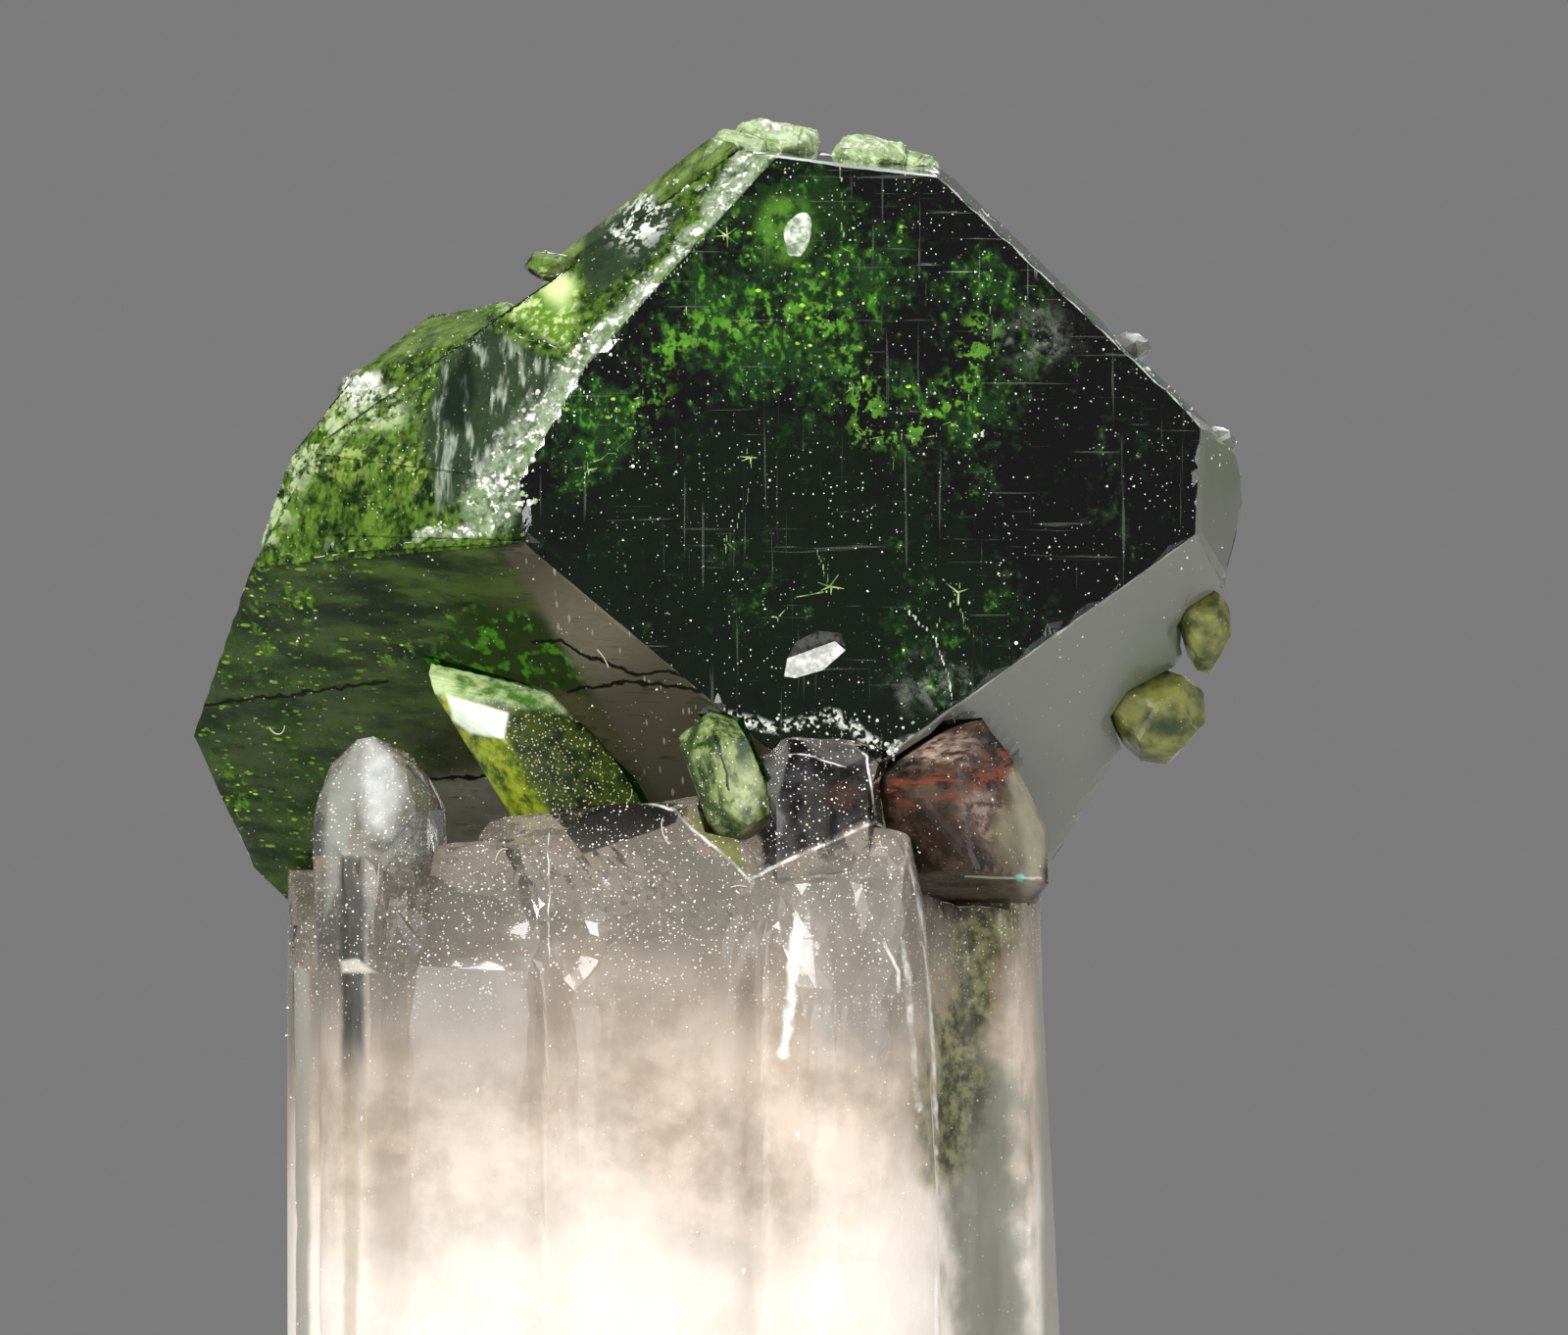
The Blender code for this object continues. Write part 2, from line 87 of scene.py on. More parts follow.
def make_camera():
    """The camera in front of the specimen, at the level of its middle."""
    lens = bpy.data.cameras.new("camera")
    lens.sensor_width = SENSOR_WIDTH
    lens.lens = SENSOR_WIDTH * CAMERA_DISTANCE / (PHOTO_WIDTH * PIXEL)
    lens.clip_start = 10 * MM
    lens.clip_end = 10.0
    camera = link("camera", lens)
    camera.location = (AIM - Vector((0.0, CAMERA_DISTANCE, 0.0))) * MM
    camera.rotation_euler = (UPRIGHT, 0.0, 0.0)
    bpy.context.scene.camera = camera
    print("lens in mm:", round(lens.lens, 1))


make_camera()

# %% [markdown]
# A crystal lives from what it mirrors and from what shines through it. Large soft lights give broad calm
# gleams. The room is a plain dim grey, so that the dark faces stay dark. The lights stand clear of the
# direction that the large front face mirrors to the camera.

# %% Light
SPECIMEN_MIDDLE = Vector((0.0, 0.0, 9.0))
LIGHTS = (
    ("key", (-100.0, -190.0, 200.0), 100.0, 0.80),
    ("front", (-90.0, -280.0, 10.0), 160.0, 0.50),
    ("right", (260.0, -90.0, 110.0), 220.0, 0.42),
    ("behind", (90.0, 210.0, 210.0), 220.0, 0.40),
)
ROOM_GREY = (0.20, 0.20, 0.20, 1.0)
MOST_BOUNCES = 3


def make_light(name, place, size, watts):
    """A square soft light that looks at the specimen."""
    lamp = bpy.data.lights.new(name, "AREA")
    lamp.size = size * MM
    lamp.energy = watts
    made = link(name, lamp)
    made.location = Vector(place) * MM
    made.rotation_euler = (SPECIMEN_MIDDLE - Vector(place)).to_track_quat("-Z", "Y").to_euler()


def make_room():
    """The dim even room."""
    world = bpy.data.worlds.new("room")
    world.use_nodes = True
    world.node_tree.nodes["Background"].inputs["Color"].default_value = ROOM_GREY
    bpy.context.scene.world = world
    bpy.context.scene.view_settings.view_transform = "Standard"
    limits = bpy.context.scene.cycles
    limits.max_bounces = MOST_BOUNCES
    limits.transmission_bounces = MOST_BOUNCES
    limits.diffuse_bounces = 1
    limits.glossy_bounces = 2
    limits.use_light_tree = False
    limits.caustics_refractive = False
    limits.caustics_reflective = False


for row in LIGHTS:
    make_light(*row)
make_room()

# %% [markdown]
# The finishes are node materials. To write their maths as sums, a small class wraps a socket: each operator
# adds its Math node. Every other node comes from one method, which sets the node up first and then fills its
# sockets with numbers or links. Patterns read the Object coordinates in millimetres.

# %% Material kit
class Value:
    """A socket that can stand in a sum."""

    def __init__(self, finish, socket):
        self.finish = finish
        self.socket = socket

    def maths(self, operation, first, second):
        return self.finish.node("Math", {"operation": operation}, {0: first, 1: second})()

    def __add__(self, other):
        return self.maths("ADD", self, other)

    def __sub__(self, other):
        return self.maths("SUBTRACT", self, other)

    def __rsub__(self, other):
        return self.maths("SUBTRACT", other, self)

    def __mul__(self, other):
        return self.maths("MULTIPLY", self, other)

    def __truediv__(self, other):
        return self.maths("DIVIDE", self, other)

    def __pow__(self, other):
        return self.maths("POWER", self, other)

    __radd__ = __add__
    __rmul__ = __mul__


FINEST_WAVES = 32.0


class Finish:
    """A material in the making. Noise finer than a pixel is left away: it costs time and shows nothing."""

    def __init__(self, name):
        self.material = bpy.data.materials.new(name)
        self.material.use_nodes = True
        self.tree = self.material.node_tree
        self.tree.nodes.clear()
        place = self.node("TexCoord")("Object")
        self.place = self.node("Mapping", {}, {"Vector": place, "Scale": (1 / MM, 1 / MM, 1 / MM)})()
        self.planes = {}
        self.clouds = {}

    def node(self, kind, settings=None, sockets=None):
        """Adds a node; the call that it returns gives an output by name or number."""
        made = self.tree.nodes.new("ShaderNode" + kind)
        for key, value in (settings or {}).items():
            setattr(made, key, value)
        for key, value in (sockets or {}).items():
            if isinstance(value, Value):
                self.tree.links.new(value.socket, made.inputs[key])
            else:
                made.inputs[key].default_value = value
        return lambda key=0: Value(self, made.outputs[key])

    def noise(self, scale, detail=3.0, stretch=(1.0, 1.0, 1.0), turn=(0.0, 0.0, 0.0), rough=0.55):
        """Cloudy noise from 0 to 1, `scale` waves a millimetre."""
        spot = self.node("Mapping", {}, {"Vector": self.place, "Scale": stretch, "Rotation": turn})()
        detail = min(detail, math.log2(FINEST_WAVES / scale))
        sockets = {"Vector": spot, "Scale": scale, "Detail": detail, "Roughness": rough}
        return self.node("TexNoise", {}, sockets)("Fac")

    def cells(self, scale, stretch=(1.0, 1.0, 1.0), turn=(0.0, 0.0, 0.0)):
        """Distance to the nearest of scattered points, and that point's own random number."""
        spot = self.node("Mapping", {}, {"Vector": self.place, "Scale": stretch, "Rotation": turn})()
        made = self.node("TexVoronoi", {}, {"Vector": spot, "Scale": scale})
        number = self.node("SeparateColor", {}, {"Color": made("Color")})("Red")
        return made("Distance"), number

    def step(self, value, low, high):
        """0 under `low`, 1 over `high`, smooth between; turned round if `low` is the larger."""
        sockets = {"Value": value, "From Min": low, "From Max": high}
        return self.node("MapRange", {"interpolation_type": "SMOOTHSTEP"}, sockets)()

    def blend(self, factor, first, second):
        """The first colour where `factor` is 0, the second where it is 1."""
        sockets = {0: factor, 6: first, 7: second}
        return self.node("Mix", {"data_type": "RGBA"}, sockets)(2)

    def plane(self, wobble=0.0, scale=2.0):
        """X and Z of the picture plane, shaken by noise so that borders run unevenly."""
        if (wobble, scale) in self.planes:
            return self.planes[wobble, scale]
        spot = self.place
        if wobble:
            if scale not in self.clouds:
                sockets = {"Vector": spot, "Scale": scale, "Detail": 3.0}
                self.clouds[scale] = self.node("TexNoise", {}, sockets)("Color")
            sockets = {0: self.clouds[scale], 1: (2 * wobble,) * 3, 2: (-wobble,) * 3}
            shake = self.node("VectorMath", {"operation": "MULTIPLY_ADD"}, sockets)()
            spot = self.node("VectorMath", {"operation": "ADD"}, {0: spot, 1: shake})()
        parts = self.node("SeparateXYZ", {}, {0: spot})
        self.planes[wobble, scale] = (parts("X"), parts("Z"))
        return self.planes[wobble, scale]

    def patch(self, middle, radii, soft=0.5, wobble=0.1, scale=2.0):
        """1 inside an ellipse of the picture plane, 0 outside it."""
        x, z = self.plane(wobble, scale)
        reach = (((x - middle[0]) / radii[0]) ** 2 + ((z - middle[1]) / radii[1]) ** 2) ** 0.5
        return self.step(reach, 1.0, 1.0 - soft)

    def ribbon(self, start, end, width, soft=0.5, wobble=0.05, scale=2.0):
        """1 along a straight line of the picture plane, 0 further away than `width`."""
        x, z = self.plane(wobble, scale)
        run = (end[0] - start[0], end[1] - start[1])
        length = math.hypot(*run)
        along = ((x - start[0]) * (run[0] / length) + (z - start[1]) * (run[1] / length))
        along = self.node("Clamp", {}, {"Value": along, "Min": 0.0, "Max": length})()
        aside = (x - start[0] - along * (run[0] / length)) ** 2 + (z - start[1] - along * (run[1] / length)) ** 2
        return self.step(aside ** 0.5, width, width * (1.0 - soft))

    def beyond(self, start, end, soft=0.2, wobble=0.05):
        """1 on the left of a line of the picture plane, 0 on its right."""
        x, z = self.plane(wobble)
        run = (end[0] - start[0], end[1] - start[1])
        length = math.hypot(*run)
        side = (z - start[1]) * (run[0] / length) - (x - start[0]) * (run[1] / length)
        return self.step(side, -soft, soft)

    def area(self, points, soft=0.05, wobble=0.04):
        """1 inside a clockwise outline in the picture plane."""
        x, z = self.plane(wobble)
        inside = None
        for start, end in zip(points, points[1:] + points[:1]):
            run = (end[0] - start[0], end[1] - start[1])
            length = math.hypot(*run)
            side = (x - start[0]) * (run[1] / length) - (z - start[1]) * (run[0] / length)
            inside = side if inside is None else inside.maths("MINIMUM", inside, side)
        return self.step(inside, -soft, soft)

    def path(self, points, width, soft=0.5, wobble=0.05, scale=2.0):
        """1 along a line through several places of the picture plane."""
        return self.most(*(self.ribbon(a, b, width, soft, wobble, scale) for a, b in zip(points, points[1:])))

    def most(self, *masks):
        """The largest of several masks."""
        result = masks[0]
        for mask in masks[1:]:
            result = result.maths("MAXIMUM", result, mask)
        return result

    def bump(self, height, depth):
        """A normal from a height; `depth` is in millimetres."""
        return self.node("Bump", {}, {"Height": height, "Distance": depth * MM, "Strength": 1.0})()

    def shader(self, **sockets):
        """A Principled shader; underscores in the names stand for spaces."""
        return self.node("BsdfPrincipled", {}, {k.replace("_", " "): v for k, v in sockets.items()})()

    def mix(self, factor, first, second):
        """The first shader where `factor` is 0, the second where it is 1."""
        return self.node("MixShader", {}, {0: factor, 1: first, 2: second})()

    def done(self, surface, absorb=None):
        """Ends the material; `absorb` is the colour and density of what fills the piece."""
        output = self.tree.nodes.new("ShaderNodeOutputMaterial")
        self.tree.links.new(surface.socket, output.inputs["Surface"])
        if absorb:
            fog = self.node("VolumeAbsorption", {}, {"Color": absorb[0], "Density": absorb[1]})()
            self.tree.links.new(fog.socket, output.inputs["Volume"])
        return self.material


# %% [markdown]
# The floor is a plain pale disc. It is small enough to stay under the photograph's lower edge, as the
# photograph shows none of it, and wide enough for the views from above.

# %% Floor
FLOOR_RADIUS = 80.0


def floor_finish():
    """Pale paper with a faint grain."""
    f = Finish("pale_floor")
    grain = f.noise(2.0, 5.0)
    pale = f.blend(grain, (0.70, 0.70, 0.69, 1.0), (0.76, 0.76, 0.75, 1.0))
    return f.done(f.shader(Base_Color=pale, Roughness=0.9))


def make_floor():
    """The disc that the specimen stands on."""
    bm = bmesh.new()
    bmesh.ops.create_circle(bm, cap_ends=True, segments=96, radius=FLOOR_RADIUS * MM)
    mesh = bpy.data.meshes.new("floor")
    bm.to_mesh(mesh)
    bm.free()
    mesh.materials.append(floor_finish())
    floor = link("floor", mesh)
    floor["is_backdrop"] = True


make_floor()

# %% [markdown]
# Every crystal here starts as a copy of its own solid. The copy's loose triangles are merged, its long edges
# are cut until the triangles are small, and then the points along the crystal's edges are pressed in a
# little, unevenly, as real edges are chipped. The flat faces stay flat.

# %% Crystal copies
SHARP = math.radians(8.0)


def copy_of(node):
    """The solid of a node as merged flat faces, with its crystal edges marked sharp."""
    bm = bmesh.new()
    bm.from_mesh(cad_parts[node].data)
    bmesh.ops.remove_doubles(bm, verts=bm.verts[:], dist=0.0001 * MM)
    bmesh.ops.dissolve_limit(bm, angle_limit=math.radians(0.6), verts=bm.verts[:], edges=bm.edges[:])
    for edge in bm.edges:
        edge.smooth = edge.calc_face_angle(0.0) < SHARP
    return bm


def refine(bm, size, fine=(), fine_size=0.05):
    """Halve the long edges until none is much longer than `size`; faces of the `fine` finishes get smaller ones."""
    bmesh.ops.triangulate(bm, faces=bm.faces[:])
    for _ in range(10):
        long_edges = []
        for edge in bm.edges:
            fine_edge = any(face.material_index in fine for face in edge.link_faces)
            if edge.calc_length() > 1.5 * MM * (fine_size if fine_edge else size):
                long_edges.append(edge)
        if not long_edges:
            break
        bmesh.ops.subdivide_edges(bm, edges=long_edges, cuts=1)
        bmesh.ops.triangulate(bm, faces=bm.faces[:])


def roughen(bm, finishes, depth, waves, seed, share=lambda spot: 1.0):
    """Shake the points inside the faces of some finishes by up to `depth`, times their place's share."""
    shift = Vector((seed * 2.9, seed * 5.3, seed * 0.7))
    moves = []
    for vert in bm.verts:
        if all(face.material_index in finishes for face in vert.link_faces):
            height = noise.noise(vert.co / MM * waves + shift) + 0.5 * noise.noise(vert.co / MM * waves * 2.7)
            moves.append((vert, vert.normal * height * depth * share(vert.co / MM) * MM))
    for vert, move in moves:
        vert.co += move


def wear(bm, depth, seed):
    """Press the points on the crystal's edges in, by up to `depth`."""
    shift = Vector((seed * 7.3, seed * 3.1, seed * 1.7))
    moves = []
    for vert in bm.verts:
        if all(edge.smooth for edge in vert.link_edges):
            continue
        inward = -sum((face.normal for face in vert.link_faces), Vector()).normalized()
        rough = 0.5 + 0.5 * noise.noise(vert.co / MM * 2.2 + shift)
        chip = max(0.0, noise.noise(vert.co / MM * 0.9 - shift) - 0.25) * 2.0
        moves.append((vert, inward * (0.25 + 0.5 * rough + chip) * depth * MM))
    for vert, move in moves:
        vert.co += move


SURFACES = {}


def finished(name, bm, materials, slot, *nodes):
    """The object of a finished piece: it rides on the root, and stands for its nodes."""
    mesh = bpy.data.meshes.new(name)
    bm.to_mesh(mesh)
    if nodes:
        SURFACES[name] = BVHTree.FromBMesh(bm)
    bm.free()
    for material in materials:
        mesh.materials.append(material)
    piece = link(name, mesh)
    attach(piece, "root")
    if nodes:
        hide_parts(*nodes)
    print(name, len(mesh.polygons), "faces")
    return piece


# %% [markdown]
# Uvite is see-through but deeply coloured: thin edges let yellow-green light through, and a few millimetres
# swallow nearly all of it. Plain absorption inside a clear solid does both at once. What lies on a face or
# just under it, dust and frost, is a second shader that a mask mixes in. The green flashes of light from
# inside are painted light in that same shader, mixed in by masks as colour.

# %% Uvite finish
UVITE_IOR = 1.63
GOLD_DUST = (0.86, 0.76, 0.58, 1.0)
UVITE_ABSORB = ((0.30, 0.68, 0.05, 1.0), 950.0)
# The three greens below are colours of painted light: the green flashes from inside and their painted sparks.
DEEP_GREEN = (0.006, 0.030, 0.004, 1.0)
LEAF_GREEN = (0.050, 0.210, 0.008, 1.0)
SPARK_GREEN = (0.42, 0.72, 0.05, 1.0)
DUST_WHITE = (0.80, 0.82, 0.74, 1.0)
FROST_WHITE = (0.50, 0.56, 0.45, 1.0)
NO_TURN = (0.0, 0.0, 0.0)
ALL_ROUND = (1.0, 1.0, 1.0)


def specks(f, scale, share, size=0.14, stretch=ALL_ROUND, turn=NO_TURN):
    """Scattered specks; `share` of the cells hold one."""
    distance, number = f.cells(scale, stretch, turn)
    return f.step(distance, size, 0.6 * size) * f.step(number, 1.0 - share, 1.02 - share)


def dust_mask(f, share):
    """Dust of two sizes, in drifts."""
    drifts = f.step(f.noise(0.9, 5.0, rough=0.65), 0.34, 0.62)
    return f.most(specks(f, 10.0, share, 0.12), specks(f, 19.0, share, 0.18)) * drifts


class Layers:
    """A clear body under an opaque cover that masks build up, layer over layer."""

    def __init__(self, f, tint, rough, ior, normal, gloss=0.5):
        self.f = f
        self.body = f.shader(Base_Color=tint, Roughness=rough, IOR=ior, Transmission_Weight=1.0, Normal=normal)
        self.look = {"IOR": ior, "Normal": normal, "Specular_IOR_Level": gloss}
        self.cover = None

    def painted_glow(self, colour, strength):
        """Painted glow: a constant emission that stands in for light scattered inside and coming out again."""
        self.look.update({"Emission_Color": colour, "Emission_Strength": strength})

    def layer(self, mask, colour, rough):
        """A layer of one colour where the mask is 1."""
        if self.cover is None:
            self.cover, self.colour, self.rough = mask, colour, rough
            return
        cover = 1.0 - (1.0 - self.cover) * (1.0 - mask)
        share = cover.maths("DIVIDE", mask, cover.maths("MAXIMUM", cover, 0.001))
        self.colour = self.f.blend(share, self.colour, colour)
        self.rough = self.rough + share * (rough - self.rough)
        self.cover = cover

    def surface(self):
        top = self.f.shader(Base_Color=self.colour, Roughness=self.rough, **self.look)
        return self.f.mix(self.cover, self.body, top)


class Uvite(Layers):
    """A uvite finish in the making."""

    def __init__(self, name, tint=(0.90, 1.0, 0.70, 1.0), rough=0.04, grain_turn=(0.0, 0.35, 0.0), gloss=0.5):
        f = Finish(name)
        normal = f.bump(f.noise(24.0, 3.0, (1.0, 1.0, 0.2), grain_turn), 0.0008)
        super().__init__(f, tint, rough, UVITE_IOR, normal, gloss)

    def flashes(self, weight, strength=0.9):
        """Painted light from inside: clouds of deep green with leaf green flecks and bright painted sparks."""
        f = self.f
        clouds = 0.55 * f.noise(1.2, 7.0, rough=0.65) + 0.45 * f.noise(6.0, 5.0, rough=0.7)
        level = f.step(clouds + 0.13 * weight, 0.54, 0.72)
        fleck = f.step(f.noise(9.0, 4.0, (1.0, 1.0, 0.7), (0.0, 0.6, 0.0), 0.7), 0.48, 0.70)
        tone = f.blend(fleck * level, DEEP_GREEN, LEAF_GREEN)
        sparks = specks(f, 5.5, 0.5, 0.26, (1.0, 1.0, 1.7), (0.0, 0.4, 0.0)) * f.step(f.noise(7.0, 3.0), 0.42, 0.6)
        tone = f.blend(sparks * level, tone, SPARK_GREEN)
        self.layer(level * strength, tone, 0.15)

    def dust(self, share, *extra):
        """White dust, and any other white mask."""
        f = self.f
        self.layer(f.most(dust_mask(f, share), *extra), DUST_WHITE, 0.7)

    def done(self):
        return self.f.done(self.surface(), UVITE_ABSORB)


# %% [markdown]
# The large front face is nearly black. Green clouds of painted light lie under its upper half, with a brighter
# painted path among them, a milky veil lies on its right, and fine growth lines cross it level and upright.

# %% Front face finish
def lines(f, along_x, scale, low, high):
    """Hair lines: noise drawn out to long threads, level or upright."""
    stretch = (0.12, 1.0, 6.0) if along_x else (6.0, 1.0, 0.12)
    return f.step(f.noise(scale, 2.0, stretch), low, high)


# Path of a brighter band of painted green light on the front face.
BRIGHT_CLUSTER = ((-0.92, 13.68), (-0.50, 14.58), (0.34, 14.76), (1.18, 15.12), (1.78, 14.16), (1.84, 13.38), (2.74, 13.56), (3.34, 14.76))
POCKET_BORDER = ((0.07, 9.98), (0.70, 9.82), (1.42, 9.98), (2.08, 9.54), (3.04, 9.82))


def front_finish():
    """The dark front face."""
    u = Uvite("uvite_front")
    f = u.f
    upper = f.patch((0.70, 15.12), (3.1, 2.3), 0.8, 0.5, 0.6)
    left = f.patch((-1.58, 13.44), (1.0, 0.9), 0.5, 0.3)
    right = f.patch((3.04, 14.16), (1.8, 2.0), 0.8, 0.4)
    low = f.patch((3.22, 11.04), (1.8, 1.6), 0.9, 0.4)
    u.flashes(f.most(upper * 1.25, left * 1.3, right * 0.9, low * 0.55), 0.95)
    veil = f.patch((3.94, 14.58), (0.75, 0.55), 0.9, 0.3) * f.step(f.noise(4.0, 6.0, rough=0.75), 0.42, 0.75)
    haze = f.patch((2.74, 10.32), (0.8, 0.5), 0.9, 0.3) * f.step(f.noise(4.0, 6.0, rough=0.75), 0.42, 0.8)
    hatched = f.patch((3.34, 15.48), (1.3, 0.7), 0.8, 0.2)
    threads = f.most(lines(f, True, 3.0, 0.66, 0.74), lines(f, False, 3.0, 0.66, 0.74))
    u.layer(threads * (0.08 + 0.4 * hatched), FROST_WHITE, 0.5)
    u.layer(f.most(veil * 0.3, haze * 0.35), FROST_WHITE, 0.6)
    halo = f.patch((0.84, 15.92), (0.46, 0.54), 0.5, 0.06) * f.step(f.noise(5.0, 5.0), 0.3, 0.6)
    u.layer(halo * 0.7, (0.08, 0.22, 0.015, 1.0), 0.3)
    # Painted light: a brighter path of leaf-green flashes along the cluster path.
    bright = f.path(BRIGHT_CLUSTER, 0.32, 0.9, 0.25) * f.step(f.noise(6.0, 6.0, rough=0.75), 0.50, 0.60)
    leaf = f.blend(f.noise(8.0, 4.0), (0.020, 0.11, 0.005, 1.0), (0.16, 0.42, 0.025, 1.0))
    u.layer(bright * 0.75, leaf, 0.3)
    border = f.path(POCKET_BORDER, 0.11, 0.8, 0.12) * f.step(f.noise(9.0, 6.0, rough=0.8), 0.46, 0.58)
    u.dust(0.30, specks(f, 3.0, 0.10, 0.08), border * 0.7)
    return u.done()


# %% [markdown]
# The face below on the left mirrors like oiled stone. Its sheen is painted reflection: brown-grey beside the front
# face, olive further in, and painted mirror images of the leaning crystal and of a quartz tip; green painted light
# lies further out, with level hair lines and short green dashes of painted glints. The one on the right is
# smooth, and its grey is a painted reflection.

# %% Lower face finishes
# The three sheen colours below are painted reflection: the mirror sheen of the lower faces, painted as colour.
PAINTED_SHEEN_BROWN = (0.105, 0.095, 0.062, 1.0)
PAINTED_SHEEN_OLIVE = (0.007, 0.016, 0.004, 1.0)
PAINTED_SHEEN_GREY = (0.130, 0.132, 0.115, 1.0)
BLACK_CRACKS = (
    ((-2.24, 10.86), (-1.88, 10.88), (-1.68, 10.70), (-1.44, 10.66), (-0.98, 10.46), (-0.62, 10.51), (-0.31, 10.44)),
    ((-1.85, 10.25), (-1.34, 10.33), (-1.04, 10.38), (-0.50, 10.32), (-0.19, 10.27)),
    ((-3.62, 9.16), (-2.54, 9.24), (-2.06, 9.32)),
    ((-6.32, 10.10), (-5.18, 10.22), (-4.04, 10.38)),
)
# The two outlines below are painted reflections on the lower left face: the green one the mirror image of the leaning
# crystal, the grey one that of a quartz tip.
PAINTED_GREEN_REFLECTION = ((-3.55, 10.51), (-3.38, 10.98), (-2.95, 11.35), (-2.11, 11.16), (-1.54, 10.66), (-1.32, 10.14))
PAINTED_GREY_REFLECTION = ((-3.62, 9.12), (-2.78, 9.24), (-2.06, 9.02), (-2.21, 8.52), (-3.02, 8.18), (-3.60, 8.30))
# Places of painted glints on the lower left face.
GLINT_SPOTS = (
    ((-4.46, 11.88), (0.55, 0.3)),
    ((-5.12, 11.34), (0.4, 0.4)),
    ((-4.04, 10.80), (0.6, 0.3)),
    ((-5.90, 8.94), (0.45, 0.6)),
    ((-5.60, 11.52), (0.25, 1.6)),
    ((-3.14, 11.22), (0.5, 0.12)),
)


def olive_finish():
    """The mirror-like lower left face, its sheen, mirror images and glints painted."""
    u = Uvite("uvite_olive_face", grain_turn=(0.0, -0.12, 0.0), gloss=0.05)
    f = u.f
    tilt = (0.0, 0.12, 0.0)
    outer = f.beyond((-3.50, 6.72), (-4.82, 12.00), 0.9, 0.3)
    u.flashes(outer, 0.8)
    # Painted reflection: an uneven olive sheen over most of the face, dimmer further in.
    uneven = f.step(f.noise(1.6, 6.0, (0.35, 1.0, 2.2), tilt, 0.65), 0.36, 0.66)
    olive = f.blend(uneven, PAINTED_SHEEN_OLIVE, (0.050, 0.085, 0.014, 1.0))
    dim = f.blend(f.noise(1.0, 4.0), (0.022, 0.026, 0.010, 1.0), (0.085, 0.080, 0.040, 1.0))
    inner = f.beyond((-2.06, 12.00), (-4.22, 7.92), 0.9, 0.3)
    u.layer(0.90 - 0.25 * outer, f.blend(1.0 - inner, dim, olive), 0.3)
    # Painted glints: green dashes and flecks, thickest in the glint spots.
    glints = f.most(*(f.patch(middle, radii, 0.8, 0.2) for middle, radii in GLINT_SPOTS))
    dashes = f.most(specks(f, 5.0, 0.5, 0.26, (0.40, 1.0, 2.0), tilt), specks(f, 11.0, 0.5, 0.28, (0.5, 1.0, 1.6), tilt))
    u.layer(dashes * f.most(glints, 0.35 * outer) * f.step(f.noise(7.0, 4.0), 0.38, 0.55), SPARK_GREEN, 0.3)
    u.layer(glints * f.step(f.noise(5.0, 6.0, rough=0.75), 0.50, 0.66) * 0.6, (0.14, 0.30, 0.02, 1.0), 0.3)
    # Painted reflection of the leaning crystal: dark green with leaf-green flecks.
    green = f.blend(f.noise(4.0, 6.0, rough=0.7), (0.003, 0.008, 0.002, 1.0), (0.024, 0.045, 0.009, 1.0))
    u.layer(f.area(PAINTED_GREEN_REFLECTION, 0.08, 0.10) * 0.92, green, 0.25)
    u.layer(f.area(PAINTED_GREEN_REFLECTION, 0.08, 0.10) * f.step(f.noise(5.0, 6.0), 0.52, 0.66) * 0.7, LEAF_GREEN, 0.3)
    # Painted reflection of a quartz tip: misty grey.
    misty = f.blend(f.noise(2.5, 6.0, (0.6, 1.0, 1.6)), (0.050, 0.050, 0.036, 1.0), (0.30, 0.29, 0.23, 1.0))
    u.layer(f.area(PAINTED_GREY_REFLECTION, 0.16, 0.15) * 0.85, misty, 0.3)
    # Painted reflection: a brown-grey band of sheen beside the front face, with paler strokes.
    band = f.beyond((-2.78, 12.24), (-0.38, 8.40), 0.10, 0.03)
    brown = f.blend(f.noise(14.0, 3.0, (0.25, 1.0, 2.0), tilt), PAINTED_SHEEN_BROWN, (0.155, 0.140, 0.098, 1.0))
    brown = f.blend(f.patch((-1.58, 11.04), (1.3, 1.0), 0.9), (0.060, 0.054, 0.036, 1.0), brown)
    u.layer(band * 0.93, brown, 0.22)
    strokes = specks(f, 6.0, 0.25, 0.3, (2.6, 1.0, 0.5), (0.0, 0.3, 0.0)) * band
    u.layer(strokes * 0.5, (0.42, 0.40, 0.31, 1.0), 0.4)
    threads = f.step(f.noise(5.0, 2.0, (0.10, 1.0, 5.0), tilt), 0.62, 0.72)
    u.layer(threads * 0.5, (0.012, 0.018, 0.008, 1.0), 0.2)
    u.layer(f.most(*(f.path(crack, 0.028, 0.5, 0.07, 6.0) for crack in BLACK_CRACKS)), (0.006, 0.007, 0.004, 1.0), 0.3)
    u.dust(0.08)
    return u.done()


def grey_finish():
    """The smooth lower right face, its grey sheen a painted reflection; green where small crystals stand on it."""
    u = Uvite("uvite_grey_face")
    f = u.f
    # Painted reflection: the grey sheen of the floor, a little weaker where the green lies.
    grey = f.blend(f.noise(0.8, 3.0), PAINTED_SHEEN_GREY, (0.175, 0.176, 0.155, 1.0))
    u.layer(0.92 - 0.35 * f.patch((5.50, 10.32), (0.75, 1.0), 0.9), grey, 0.3)
    green = f.most(f.patch((6.22, 13.08), (0.35, 0.9), 0.9, 0.2), f.patch((5.50, 10.32), (0.9, 1.1), 0.9, 0.2))
    u.layer(green * 0.5, f.blend(f.noise(2.0, 4.0), (0.04, 0.07, 0.02, 1.0), (0.16, 0.21, 0.09, 1.0)), 0.3)
    u.dust(0.05)
    return u.done()


# %% [markdown]
# The two crystals grown on the upper left are thinner, so that more light comes through them; that light is
# painted: yellow-green patches, sparks, lit rims and a lit thin triangle. Frost covers the strip along the front
# face, with chalky spots and upright streaks beside it.

